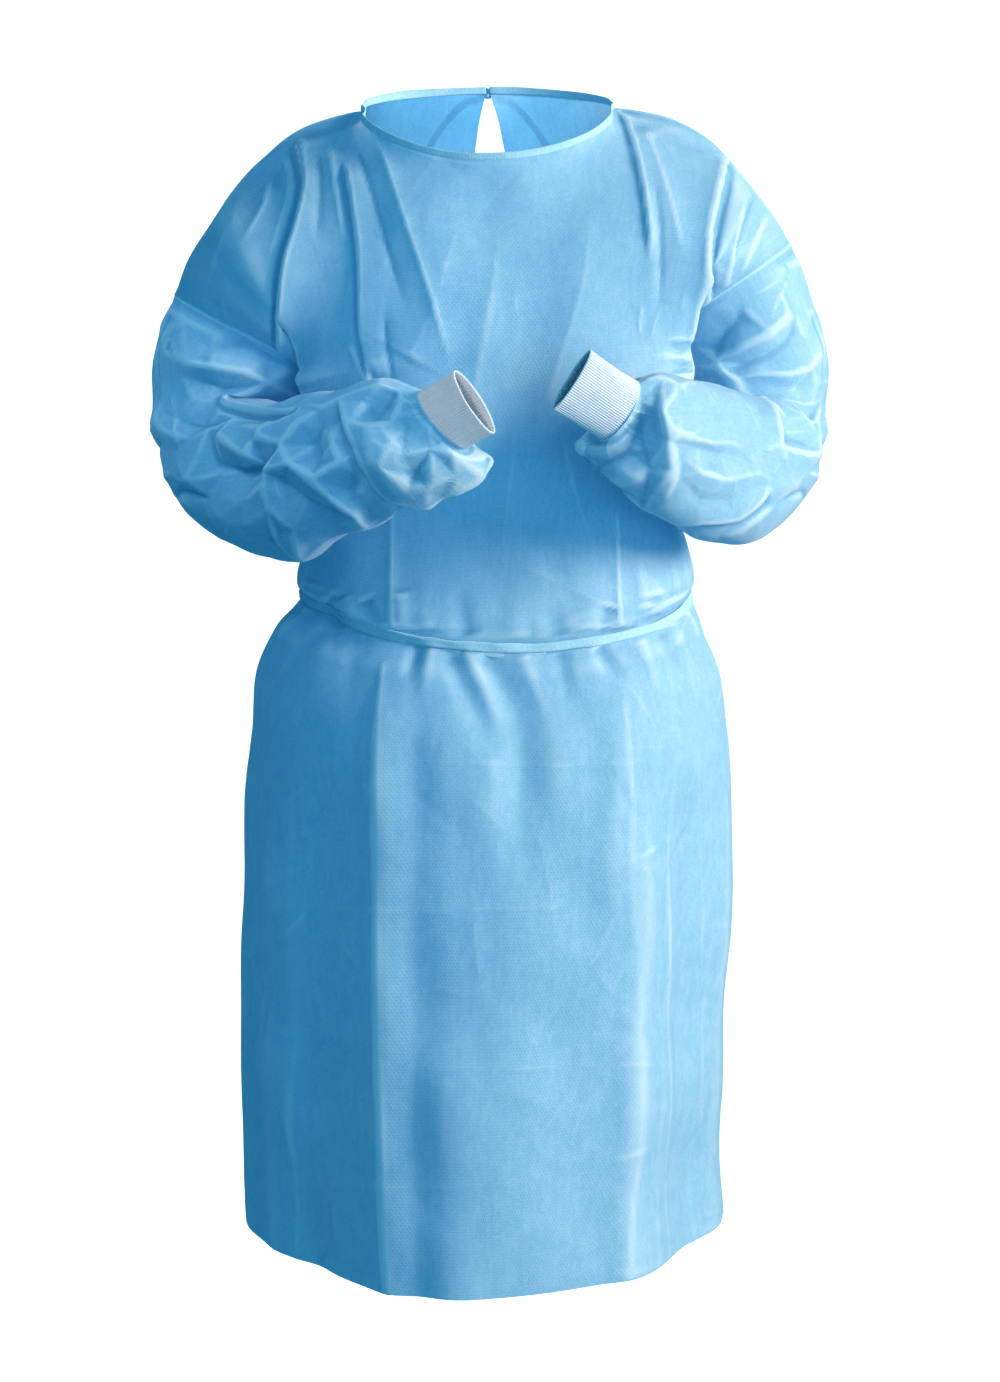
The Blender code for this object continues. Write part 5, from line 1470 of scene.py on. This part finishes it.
def knit(name, deep, pale):
    """White rib knit: stitch rows across the ribs, soft and matt."""
    material = bpy.data.materials.new(name)
    material.use_nodes = True
    tree = material.node_tree
    bsdf = tree.nodes["Principled BSDF"]
    place = tree.nodes.new("ShaderNodeTexCoord")
    uv, obj = place.outputs["UV"], place.outputs["Object"]
    split = tree.nodes.new("ShaderNodeSeparateXYZ")
    tree.links.new(uv, split.inputs[0])
    course = math_node(tree, "SINE", math_node(tree, "MULTIPLY", split.outputs[1], 2 * math.pi / 0.0014))
    wale = math_node(tree, "SINE", math_node(tree, "MULTIPLY", split.outputs[0], 2 * math.pi / 0.00105))
    stitch = math_node(tree, "MULTIPLY", math_node(tree, "MULTIPLY_ADD", course, 0.5, 0.5), math_node(tree, "MULTIPLY_ADD", wale, 0.5, 0.5))
    fuzz = noise(tree, obj, 900.0, 3.0, 0.7)
    clouds = noise(tree, obj, 60.0, 3.0, 0.6)
    # Painted shade: through the rib value, the knit's tone is darker in the rib valleys and paler on the rib crests.
    valley = tree.nodes.new("ShaderNodeAttribute")
    valley.attribute_name = "rib"
    tone = math_node(tree, "ADD", math_node(tree, "MULTIPLY", stitch, 0.35), math_node(tree, "MULTIPLY", remap(tree, clouds, 0.3, 0.7), 0.25))
    tone = math_node(tree, "ADD", tone, math_node(tree, "MULTIPLY", valley.outputs["Fac"], 0.4), clamp=True)
    tree.links.new(mix_colour(tree, tone, deep, pale), bsdf.inputs["Base Color"])
    height = math_node(tree, "ADD", math_node(tree, "MULTIPLY", stitch, 0.8), math_node(tree, "MULTIPLY", fuzz, 0.4))
    bump_node = tree.nodes.new("ShaderNodeBump")
    bump_node.inputs["Strength"].default_value = 0.7
    bump_node.inputs["Distance"].default_value = 0.0003
    tree.links.new(height, bump_node.inputs["Height"])
    tree.links.new(bump_node.outputs[0], bsdf.inputs["Normal"])
    bsdf.inputs["Roughness"].default_value = 0.92
    bsdf.inputs["Specular IOR Level"].default_value = 0.2
    bsdf.inputs["Sheen Weight"].default_value = 0.4
    bsdf.inputs["Sheen Roughness"].default_value = 0.6
    bsdf.inputs["Subsurface Weight"].default_value = 0.0
    return material


CLOTH = nonwoven("nonwoven_blue", (0.24, 0.52, 0.75), (0.30, 0.58, 0.80), (0.38, 0.65, 0.85), through=0.24)
TRIM = nonwoven("binding_blue", (0.32, 0.62, 0.82), (0.40, 0.70, 0.87), (0.50, 0.78, 0.92), through=0.15, dot_pitch=0.0026)
KNIT = knit("knit_white", (0.44, 0.51, 0.60), (0.68, 0.79, 0.92))


# ---------------------------------------------------------------- meshes
def mesh_object(name, points, quads, uv=None, attributes=None, material=CLOTH, sharp=None):
    mesh = bpy.data.meshes.new(name)
    points = np.ascontiguousarray(points, dtype=np.float32)
    quads = np.ascontiguousarray(quads, dtype=np.int32)
    corners = quads.shape[1]
    mesh.vertices.add(len(points))
    mesh.vertices.foreach_set("co", points.ravel())
    mesh.loops.add(quads.size)
    mesh.loops.foreach_set("vertex_index", quads.ravel())
    mesh.polygons.add(len(quads))
    mesh.polygons.foreach_set("loop_start", np.arange(0, quads.size, corners, dtype=np.int32))
    mesh.polygons.foreach_set("loop_total", np.full(len(quads), corners, dtype=np.int32))
    mesh.update(calc_edges=True)
    if uv is not None:
        layer = mesh.uv_layers.new(name="cloth")
        layer.data.foreach_set("uv", np.ascontiguousarray(uv, dtype=np.float32).ravel())
    for key, values in (attributes or {}).items():
        made = mesh.attributes.new(key, "FLOAT", "POINT")
        made.data.foreach_set("value", np.ascontiguousarray(values, dtype=np.float32).ravel())
    mesh.validate()
    mesh.shade_smooth()
    obj = bpy.data.objects.new(name, mesh)
    mesh.materials.append(material)
    bpy.context.scene.collection.objects.link(obj)
    return obj


def area_of(grid, loop):
    q = quad_table(*grid.shape[:2], loop)
    p = grid.reshape(-1, 3)
    return 0.5 * np.linalg.norm(np.cross(p[q[:, 2]] - p[q[:, 0]], p[q[:, 3]] - p[q[:, 1]]), axis=1).sum()


def cloth_piece(name, key, across, up):
    """One panel or sleeve as a thin sheet. across and up are its cloth places in metres."""
    grid, loop = shaped[key], PIECES[key][1]
    rows, cols = grid.shape[:2]
    quads = quad_table(rows, cols, loop)
    if TURNED[key]:
        quads = quads[:, ::-1]
    u = np.broadcast_to(across[None, :], (rows, cols)).ravel()
    v = np.broadcast_to(up[:, None], (rows, cols)).ravel()
    uv = np.stack([u[quads], v[quads]], axis=-1)
    if loop:  # the last column closes the tube
        wrapped = quads % cols == 0
        other = (quads % cols).max(axis=1, keepdims=True) == cols - 1
        uv[..., 0] = np.where(wrapped & other, around[-1], uv[..., 0])
    obj = mesh_object(name, grid.reshape(-1, 3), quads, uv, {"seam_mm": np.minimum(SEAM_FAR[key] * 1000.0, 50.0), "fold": FOLDS[key]})
    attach(obj, "root")
    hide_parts(name)
    return obj


front_places = np.concatenate([-cols_at[:0:-1], cols_at])
front_obj = cloth_piece("front_panel", "front", front_places, rows_at)
back_left_obj = cloth_piece("back_panel_left", "back_left", cols_at, rows_at)
back_right_obj = cloth_piece("back_panel_right", "back_right", cols_at, rows_at)
sleeve_left_obj = cloth_piece("sleeve_left", "sleeve_left", around_at, sl_at)
sleeve_right_obj = cloth_piece("sleeve_right", "sleeve_right", around_at, sr_at)


# ---------------------------------------------------------------- knit cuffs
def make_cuff(name, side, seed):
    rng = np.random.default_rng(seed)
    coarse = cuff_grid(side, 2 * YOKE_ROWS)
    rings = len(coarse)
    knots = np.concatenate([[0.0], np.cumsum(np.linalg.norm(np.diff(coarse, axis=0), axis=2).mean(axis=1))])
    ribs, per_rib = 62, 8
    count = ribs * per_rib
    # Even spacing round the real girth of the mouth.
    ring = coarse[rings // 2]
    girth = np.concatenate([[0.0], np.cumsum(np.linalg.norm(np.roll(ring, -1, axis=0) - ring, axis=1))])
    even = np.interp(np.linspace(0.0, girth[-1], count, endpoint=False), girth, np.arange(len(girth)))
    wl = loop_weights(np.arange(2 * YOKE_ROWS + 1, dtype=float), even)
    steps = 34
    places = np.linspace(0.0, knots[-1], steps)
    outer = carry(cubic_weights(knots, places), coarse, wl)
    q = quad_table(steps, count, True)
    turned = turned_in(outer, True)
    normal = shared_normals([(outer, True, turned)])[0]
    phase = 2 * np.pi * np.arange(count) / per_rib
    rib = 0.5 + 0.5 * np.cos(phase)
    share = places / places[-1]
    wave = np.zeros((steps, count))
    turn = np.arange(count) / count
    for _ in range(7):
        a, w, h = rng.uniform(), rng.uniform(0.03, 0.08), rng.uniform(-0.0011, 0.0011)
        s0, ds = rng.uniform(0.0, 1.0), rng.uniform(0.2, 0.5)
        wave += h * np.exp(-((((turn - a + 0.5) % 1.0) - 0.5) / w) ** 2)[None, :] * np.exp(-((share - s0) / ds) ** 2)[:, None]
    outer = outer + normal * (0.00055 * (rib ** 0.8)[None, :] - 0.0004 + wave)[..., None]
    axis_dir = outer[-1] - outer[-2]
    axis_dir /= np.linalg.norm(axis_dir, axis=1, keepdims=True)
    thick = 0.0020
    lip = []
    for a in np.linspace(0.0, np.pi, 7)[1:-1]:
        lip.append(outer[-1] - normal[-1] * thick * 0.5 * (1 - np.cos(a)) + axis_dir * thick * 0.5 * np.sin(a))
    inner = (outer - normal * thick)[::-1][:26]
    grid = np.concatenate([outer, np.array(lip), inner])
    rows = len(grid)
    quads = quad_table(rows, count, True)
    if turned:
        quads = quads[:, ::-1]
    run = np.concatenate([[0.0], np.cumsum(np.linalg.norm(np.diff(grid, axis=0), axis=2).mean(axis=1))])
    u = np.broadcast_to((turn * girth[-1])[None, :], (rows, count)).ravel()
    v = np.broadcast_to(run[:, None], (rows, count)).ravel()
    obj = mesh_object(name, grid.reshape(-1, 3), quads, np.stack([u[quads], v[quads]], axis=-1),
                      {"rib": np.broadcast_to(rib[None, :], (rows, count))}, KNIT)
    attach(obj, "root")
    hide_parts(name)
    return obj, girth[-1], knots[-1]


cuff_left_obj, cuff_left_girth, cuff_left_long = make_cuff("cuff_left", 1, 21)
cuff_right_obj, cuff_right_girth, cuff_right_long = make_cuff("cuff_right", -1, 22)


# ---------------------------------------------------------------- strips: binding, belt, ties
def place_on(key, r, c):
    """Point and normal of a shaped panel at a row place and a column number, both fractional."""
    grid, normal = shaped[key], SHAPED_N[key]
    j = float(np.interp(r, rows_at, np.arange(len(rows_at))))
    j0, i0 = int(min(j, grid.shape[0] - 2)), int(min(max(c, 0), grid.shape[1] - 2))
    fj, fi = j - j0, c - i0
    p, n = np.zeros(3), np.zeros(3)
    for w, a, b in (((1 - fj) * (1 - fi), j0, i0), ((1 - fj) * fi, j0, i0 + 1), (fj * (1 - fi), j0 + 1, i0), (fj * fi, j0 + 1, i0 + 1)):
        p += w * grid[a, b]
        n += w * normal[a, b]
    return p, n / np.linalg.norm(n)


def resampled(points, normals, step, loop):
    points, normals = np.array(points), np.array(normals)
    if loop:
        points, normals = np.vstack([points, points[:1]]), np.vstack([normals, normals[:1]])
    seg = np.linalg.norm(np.diff(points, axis=0), axis=1)
    run = np.concatenate([[0.0], np.cumsum(seg)])
    count = max(4, int(round(run[-1] / step)))
    at = np.linspace(0.0, run[-1], count + 1)
    if loop:
        at = at[:-1]
    p = np.stack([np.interp(at, run, points[:, k]) for k in range(3)], axis=1)
    n = np.stack([np.interp(at, run, normals[:, k]) for k in range(3)], axis=1)
    for _ in range(3):
        if loop:
            p = 0.5 * p + 0.25 * (np.roll(p, 1, axis=0) + np.roll(p, -1, axis=0))
            n = 0.5 * n + 0.25 * (np.roll(n, 1, axis=0) + np.roll(n, -1, axis=0))
        else:
            p[1:-1] = 0.5 * p[1:-1] + 0.25 * (p[:-2] + p[2:])
            n[1:-1] = 0.5 * n[1:-1] + 0.25 * (n[:-2] + n[2:])
    return p, n / np.linalg.norm(n, axis=1, keepdims=True), at, run[-1]


def strip_parts(points, normals, run, half, thick, loop, seed, curl=0.0, stitches=0.0040, flat_ends=True, lift=0.0):
    """A folded strip: a soft flat oval with a stitched hollow along its middle. Its width lies across the normals."""
    rng = np.random.default_rng(seed)
    n_sec = len(points)
    if loop:
        tangent = np.roll(points, -1, axis=0) - np.roll(points, 1, axis=0)
    else:
        tangent = np.gradient(points, axis=0)
    tangent /= np.linalg.norm(tangent, axis=1, keepdims=True)
    normals = normals - tangent * (normals * tangent).sum(axis=1, keepdims=True)
    normals /= np.linalg.norm(normals, axis=1, keepdims=True)
    width_dir = np.cross(tangent, normals)
    ang = np.linspace(0.0, 2 * np.pi, 22, endpoint=False)
    cx = np.sign(np.cos(ang)) * np.abs(np.cos(ang)) ** 0.75
    cy = np.sign(np.sin(ang)) * np.abs(np.sin(ang)) ** 0.75
    total = run[-1] + (run[1] - run[0])
    roll, wide, bend = np.zeros(n_sec), np.ones(n_sec), np.zeros(n_sec)
    for k in range(1, 9):
        cycles = k * (3 if loop else 1) + (2 if loop else 0)
        a, b, c = rng.uniform(-1, 1, 3)
        ph = rng.uniform(0, 2 * np.pi, 3)
        roll += 0.05 * a * np.sin(2 * np.pi * cycles * run / total + ph[0])
        wide += 0.035 * b * np.sin(2 * np.pi * cycles * 1.0 * run / total + ph[1])
        bend += 0.00022 * c * np.sin(2 * np.pi * cycles * run / total + ph[2])
    out = np.empty((n_sec, len(ang), 3))
    pucker = 0.00012 * np.cos(2 * np.pi * run / stitches)
    for m in range(n_sec):
        x = cx * half * wide[m]
        groove = np.exp(-(x / (0.30 * half)) ** 2)
        y = cy * 0.5 * thick * (1.0 - 0.32 * groove) + pucker[m] * cy * (1 - groove)
        c, s = math.cos(roll[m]), math.sin(roll[m])
        xr, yr = x * c - y * s, x * s + y * c + curl * (x / half) ** 2
        out[m] = points[m] + width_dir[m] * xr[:, None] + normals[m] * (yr + lift + bend[m] + 0.5 * thick)[:, None]
    quads = []
    count = len(ang)
    for m in range(n_sec if loop else n_sec - 1):
        m2 = (m + 1) % n_sec
        for a in range(count):
            b = (a + 1) % count
            quads.append((m * count + a, m * count + b, m2 * count + b, m2 * count + a))
    verts = out.reshape(-1, 3)
    quads = np.array(quads)
    # Faces look out of the strip.
    p = verts
    q = quads
    n = np.cross(p[q[:, 2]] - p[q[:, 0]], p[q[:, 3]] - p[q[:, 1]])
    centre = out.mean(axis=1)[q[:, 0] // count]
    if (n * (p[q[:, 0]] - centre)).sum() < 0:
        quads = quads[:, ::-1]
    uv_all = np.stack([np.tile(ang / (2 * np.pi) * 2.4 * half, n_sec), np.repeat(run, count)], axis=-1)
    return verts, quads, uv_all, out


def strip_object(name, pieces, caps, material=None, node=None):
    """One mesh from several strips. caps closes the open ends with small fans."""
    verts, quads, uvs, start = [], [], [], 0
    for (v, q, uv, sections), cap in zip(pieces, caps):
        v = list(v)
        count = sections.shape[1]
        qs = list(map(tuple, q))
        uv = list(uv)
        if cap:
            for end, ring in ((0, range(count)), (len(sections) - 1, range(count))):
                centre = len(v)
                v.append(sections[end].mean(axis=0))
                uv.append(uv[end * count])
                for a in ring:
                    b = (a + 1) % count
                    tri = (end * count + a, end * count + b, centre, centre)
                    qs.append(tri)
        verts += v
        quads += [tuple(start + i for i in f) for f in qs]
        uvs += uv
        start += len(v)
    bm = bmesh.new()
    made = [bm.verts.new(tuple(p)) for p in verts]
    layer = bm.loops.layers.uv.new("cloth")
    for f in quads:
        ids = list(dict.fromkeys(f))
        face = bm.faces.new([made[i] for i in ids])
        for loop_, i in zip(face.loops, ids):
            loop_[layer].uv = tuple(uvs[i])
    bmesh.ops.recalc_face_normals(bm, faces=bm.faces)
    mesh = bpy.data.meshes.new(name)
    bm.to_mesh(mesh)
    bm.free()
    made_far = mesh.attributes.new("seam_mm", "FLOAT", "POINT")
    made_far.data.foreach_set("value", np.full(len(mesh.vertices), 50.0, dtype=np.float32))
    mesh.shade_smooth()
    mesh.materials.append(material or TRIM)
    obj = bpy.data.objects.new(name, mesh)
    bpy.context.scene.collection.objects.link(obj)
    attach(obj, "root")
    if node:
        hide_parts(node)
    return obj


# Neck binding: the strip stands on the neck edge, its width upright.
edge_p = [shaped["back_right"][-1, i] for i in range(0, FN)]
edge_p += [shaped["front"][-1, i] for i in range(mid - FN, mid + FN + 1)]
edge_p += [shaped["back_left"][-1, i] for i in range(FN - 1, -1, -1)]
edge_p = np.array(edge_p)
outward = edge_p * [1, 1, 0]
outward /= np.linalg.norm(outward, axis=1, keepdims=True)
bind_p, bind_n, bind_run, bind_long = resampled(edge_p, outward, 0.0011, False)
rise = np.array([0.0, 0.0, 0.0026])
binding = strip_parts(bind_p + rise - bind_n * 0.0011, bind_n, bind_run, 0.0036, 0.0021, False, 31, stitches=0.0034)
binding_obj = strip_object("neck_binding", [binding], [True], node="neck_binding")


# Belt: once round the waist in the groove of the cloth.
def belt_places():
    """Row place of the belt for every column of the three panels, shifted to the line seen in the photograph."""
    out = {}
    line = np.array(BELT_LINE, float)
    p = at_place(F, belt_at)
    px = pixel_of(p)
    want = np.interp(px[:, 0], line[:, 0], line[:, 1])
    shift = (px[:, 1] - want) / 1000.0
    fade = smooth(np.abs(front_places), cols_at[-1], cols_at[-1] - 0.09)
    out["front"] = belt_at + shift * fade
    for key in ("back_left", "back_right"):
        out[key] = np.full(len(cols_at), belt_at)
    return out


BELT_AT = belt_places()
belt_p, belt_n = [], []
for key, order in (("front", range(0, 2 * mid + 1)), ("back_left", range(mid - 1, -1, -1)), ("back_right", range(0, mid))):
    for c in order:
        p, n = place_on(key, BELT_AT[key][c], c)
        belt_p.append(p)
        belt_n.append(n)
belt_p, belt_n, belt_run, belt_long = resampled(belt_p, belt_n, 0.0016, True)
for _ in range(40):
    belt_p = 0.5 * belt_p + 0.25 * (np.roll(belt_p, 1, axis=0) + np.roll(belt_p, -1, axis=0))
belt_main = strip_parts(belt_p, belt_n, belt_run, 0.0046, 0.0026, True, 32, lift=0.0006)
# The loose second turn of the tie, seen below the first on the wearer's right.
pix = pixel_of(belt_p)
take = np.flatnonzero((pix[:, 0] > 322) & (pix[:, 0] < 546) & (belt_p[:, 1] < 0))
take = take[np.argsort(pix[take, 0])]
share = np.linspace(0.0, 1.0, len(take))
drop = 0.0066 * smooth(share, 0.0, 0.14) * (0.75 + 0.25 * np.sin(share * 9.0)) * (1.0 - 0.55 * smooth(share, 0.86, 1.0))
strand_p = belt_p[take] - np.array([0, 0, 1.0]) * drop[:, None] - belt_n[take] * 0.0006
strand_p, strand_n, strand_run, _ = resampled(strand_p, belt_n[take], 0.0016, False)
strand = strip_parts(strand_p, strand_n, strand_run, 0.0036, 0.0020, False, 33, lift=0.0002)
belt_obj = strip_object("waist_belt", [belt_main, strand], [False, True], node="waist_belt")


def tie_strip(name, key, path, half, thick, seed, start, long_scale=1.0):
    """A free end lying over a back panel. path: coarse row and column, as in the solids. start: where it leaves the knot."""
    pts, nrm = [], []
    fine = along(np.array(path, float), np.linspace(0.0, 1.0, 40))
    for r, c in fine:
        place = float(np.interp(r, np.arange(len(ROW)), ROW))
        col = float(np.interp(np.interp(c, np.arange(len(COL)), COL), cols_at, np.arange(len(cols_at))))
        p, n = place_on(key, place, col)
        pts.append(p + n * 0.0016)
        nrm.append(n)
    pts[0] = np.array(start)
    pts[1] = 0.5 * (pts[0] + pts[2])
    p, n, run, long = resampled(pts, nrm, 0.0016, False)
    for _ in range(12):
        p[1:-1] = 0.5 * p[1:-1] + 0.25 * (p[:-2] + p[2:])
        n[1:-1] = 0.5 * n[1:-1] + 0.25 * (n[:-2] + n[2:])
    made = strip_parts(p, n, run, half, thick, False, seed, lift=0.0003)
    return strip_object(name, [made], [True], node=name), long


def knot_object(name, centre, radii, strand, seed, node):
    """A drawn-up overhand knot: one flattened strand on a trefoil path."""
    rng = np.random.default_rng(seed)
    t = np.linspace(0.0, 2 * np.pi, 150, endpoint=False)
    x = np.sin(t) + 1.9 * np.sin(2 * t)
    y = -np.sin(3 * t)
    z = np.cos(t) - 1.9 * np.cos(2 * t)
    path = np.stack([x / 2.9, y, z / 2.9], axis=1)
    scale = np.array(radii) - strand
    points = np.array(centre) + path * scale
    tangent = np.roll(points, -1, axis=0) - np.roll(points, 1, axis=0)
    tangent /= np.linalg.norm(tangent, axis=1, keepdims=True)
    out = points - np.array(centre)
    out /= np.linalg.norm(out, axis=1, keepdims=True)
    out -= tangent * (out * tangent).sum(axis=1, keepdims=True)
    out /= np.linalg.norm(out, axis=1, keepdims=True)
    width = np.cross(tangent, out)
    ang = np.linspace(0.0, 2 * np.pi, 16, endpoint=False)
    lump = 1.0 + 0.12 * np.sin(5 * t + rng.uniform(0, 6)) + 0.08 * np.sin(11 * t + rng.uniform(0, 6))
    sections = np.array([
        points[m] + width[m] * (np.cos(ang) * strand * 1.25 * lump[m])[:, None]
        + out[m] * (np.sin(ang) * strand * 0.72 * (1.0 - 0.25 * np.exp(-(np.cos(ang) / 0.35) ** 2)))[:, None]
        for m in range(len(t))
    ])
    count = len(ang)
    quads = []
    for m in range(len(t)):
        m2 = (m + 1) % len(t)
        for a in range(count):
            b = (a + 1) % count
            quads.append((m * count + a, m * count + b, m2 * count + b, m2 * count + a))
    run = np.concatenate([[0.0], np.cumsum(np.linalg.norm(np.diff(points, axis=0), axis=1))])
    uv = np.stack([np.tile(ang / 6.28 * 0.02, len(t)), np.repeat(run, count)], axis=-1)
    return strip_object(name, [(sections.reshape(-1, 3), np.array(quads), uv, sections)], [False], node=node)


TOP = K + YOKE_ROWS
neck_centre = np.array([0.0, 0.084, 0.0175])
neck_knot_obj = knot_object("neck_knot", neck_centre, (0.0085, 0.0080, 0.0064), 0.0027, 41, "neck_knot")
for side, key, name in ((1, "back_left", "neck_tie_left"), (-1, "back_right", "neck_tie_right")):
    path = [(TOP - 0.02, 0.28), (TOP - 0.45, 0.55), (TOP - 1.1, 0.85), (TOP - 2.0, 1.15), (TOP - 3.0, 1.40),
            (TOP - 4.0, 1.6), (TOP - 5.0, 1.7), (TOP - 6.0, 1.75)]
    tie_strip(name, key, path, 0.0036, 0.0020, 51 + side, neck_centre + [side * 0.004, 0.002, -0.003])
belt_mid = 0.5 * (back_left[BELT_ROW, 0] + back_left[BELT_ROW + 1, 0])
belt_centre = np.array([0.0, belt_mid[1] + 0.0105, belt_mid[2]])
belt_knot_obj = knot_object("belt_knot", belt_centre, (0.0130, 0.0085, 0.0100), 0.0038, 42, "belt_knot")
for side, key, name in ((1, "back_left", "belt_tie_left"), (-1, "back_right", "belt_tie_right")):
    path = [(BELT_ROW - 0.15, 0.45), (BELT_ROW - 0.55, 0.62), (BELT_ROW - 1.0, 0.80), (BELT_ROW - 1.6, 1.0), (BELT_ROW - 2.3, 1.2),
            (BELT_ROW - 3.0, 1.3), (BELT_ROW - 3.6, 1.35), (BELT_ROW - 4.2, 1.4)]
    tie_strip(name, key, path, 0.0042, 0.0022, 61 + side, belt_centre + [side * 0.006, 0.002, -0.004])

# ---------------------------------------------------------------- cut sizes of the sheets
# Flat cuts, as a maker would lay them out. The outline isn't a rectangle, so the area is given.
for label, obj, key, w, l in (
    ("front", front_obj, "front", 0.76, 1.16),
    ("back_left", back_left_obj, "back_left", 0.38, 1.18),
    ("back_right", back_right_obj, "back_right", 0.38, 1.18),
    ("sleeve_left", sleeve_left_obj, "sleeve_left", 0.50, 0.52),
    ("sleeve_right", sleeve_right_obj, "sleeve_right", 0.50, 0.52),
):
    made = area_of(shaped[key], PIECES[key][1])
    print("AREA", label, round(made, 4), "flat", w * l, "rows", round(float(np.linalg.norm(np.diff(shaped[key], axis=0), axis=2).sum(axis=0).mean()), 3))

# ---------------------------------------------------------------- studio
def area_light(name, where, aim, size, power, colour=(1, 1, 1)):
    data = bpy.data.lights.new(name, "AREA")
    data.shape, data.size, data.energy, data.color = "DISK", size, power, colour
    light = bpy.data.objects.new(name, data)
    bpy.context.scene.collection.objects.link(light)
    light.location = where
    d = np.array(aim, float) - np.array(where, float)
    light.rotation_euler = (math.acos(-d[2] / np.linalg.norm(d)), 0.0, math.atan2(d[1], d[0]) - math.pi / 2)
    return light


FLOOR_Z = -1.62
# A round studio: pale floor that curves up into a pale wall all round. It lights nothing by itself.
profile_pts = [(0.0, 0.0), (2.0, 0.0), (5.0, 0.0)]
for k in range(1, 13):
    a = math.pi / 2 * k / 12
    profile_pts.append((5.0 + 2.0 * math.sin(a), 2.0 * (1 - math.cos(a))))
profile_pts.append((7.0, 9.0))
STEPS_ROUND = 64
vs, fs = [], []
for k, (r, z) in enumerate(profile_pts):
    for m in range(STEPS_ROUND):
        a = 2 * math.pi * m / STEPS_ROUND
        vs.append((max(r, 0.001) * math.cos(a), max(r, 0.001) * math.sin(a), FLOOR_Z + z))
for k in range(len(profile_pts) - 1):
    for m in range(STEPS_ROUND):
        m2 = (m + 1) % STEPS_ROUND
        fs.append((k * STEPS_ROUND + m, k * STEPS_ROUND + m2, (k + 1) * STEPS_ROUND + m2, (k + 1) * STEPS_ROUND + m))
sweep = bpy.data.meshes.new("studio_round")
sweep.from_pydata(vs, [], fs)
sweep.shade_smooth()
paper = bpy.data.materials.new("studio_paper")
paper.use_nodes = True
pb = paper.node_tree.nodes["Principled BSDF"]
pb.inputs["Base Color"].default_value = (0.90, 0.90, 0.90, 1.0)
pb.inputs["Roughness"].default_value = 1.0
pb.inputs["Specular IOR Level"].default_value = 0.0
pb.inputs["Emission Color"].default_value = (1, 1, 1, 1)
pb.inputs["Emission Strength"].default_value = 1.1
sweep.materials.append(paper)
sweep_obj = bpy.data.objects.new("studio_round", sweep)
bpy.context.scene.collection.objects.link(sweep_obj)
sweep_obj.visible_diffuse = False
sweep_obj.visible_glossy = False
sweep_obj.visible_transmission = False

world = bpy.data.worlds.new("studio")
bpy.context.scene.world = world
world.use_nodes = True
world.node_tree.nodes["Background"].inputs[0].default_value = (0.08, 0.63, 1.0, 1.0)
world.node_tree.nodes["Background"].inputs[1].default_value = 0.35
key = area_light("key", (3.05, -1.25, 0.55), (0.0, 0.0, -0.5), 1.4, 200.0, (1.0, 0.79, 0.60))
# The key light would shine through the neck on to one side of the back's inside only. Both get a small even light.
key_on = bpy.data.collections.new("key_on")
for obj in bpy.context.scene.objects:
    if obj.type == "MESH" and obj not in (back_right_obj, sweep_obj):
        key_on.objects.link(obj)
key.light_linking.receiver_collection = key_on
backs = bpy.data.collections.new("backs")
for obj in (back_left_obj, back_right_obj):
    backs.objects.link(obj)
area_light("neck_fill", (0.0, -1.7, 1.2), (0.0, 0.05, -0.05), 0.5, 38.0, (0.62, 0.88, 1.0)).light_linking.receiver_collection = backs
area_light("fill", (1.0, -2.7, -0.5), (0.05, 0.0, -0.75), 1.2, 15.0, (0.20, 0.74, 1.0))
area_light("sky", (-1.2, -1.8, 1.6), (-0.1, 0.0, -0.4), 0.9, 10.5, (0.40, 0.80, 1.0))
area_light("side_fill", (1.9, -2.0, -0.25), (0.12, 0.0, -0.55), 0.9, 6.5, (0.70, 0.88, 1.0))
area_light("rim", (0.7, 2.5, 1.0), (0.0, 0.0, -0.3), 1.6, 70.0, (0.45, 0.86, 1.0))

# The sleeve in shade gets a raking light of its own, from above.
shade_only = bpy.data.collections.new("shade_only")
shade_only.objects.link(sleeve_right_obj)
area_light("raking", (-1.0, -1.1, 1.5), (-0.24, -0.15, -0.3), 0.35, 15.0, (0.62, 0.88, 1.0)).light_linking.receiver_collection = shade_only
# The white knit gets a small neutral fill of its own.
knit_only = bpy.data.collections.new("knit_only")
knit_only.objects.link(cuff_right_obj)
area_light("knit_fill", (-0.7, -2.2, -0.1), (-0.04, -0.25, -0.3), 0.4, 22.0, (1.0, 0.70, 0.48)).light_linking.receiver_collection = knit_only

scene = bpy.context.scene
scene.view_settings.view_transform = "Standard"
scene.view_settings.look = "None"
scene.view_settings.exposure = 0.0
scene.view_settings.gamma = 1.0
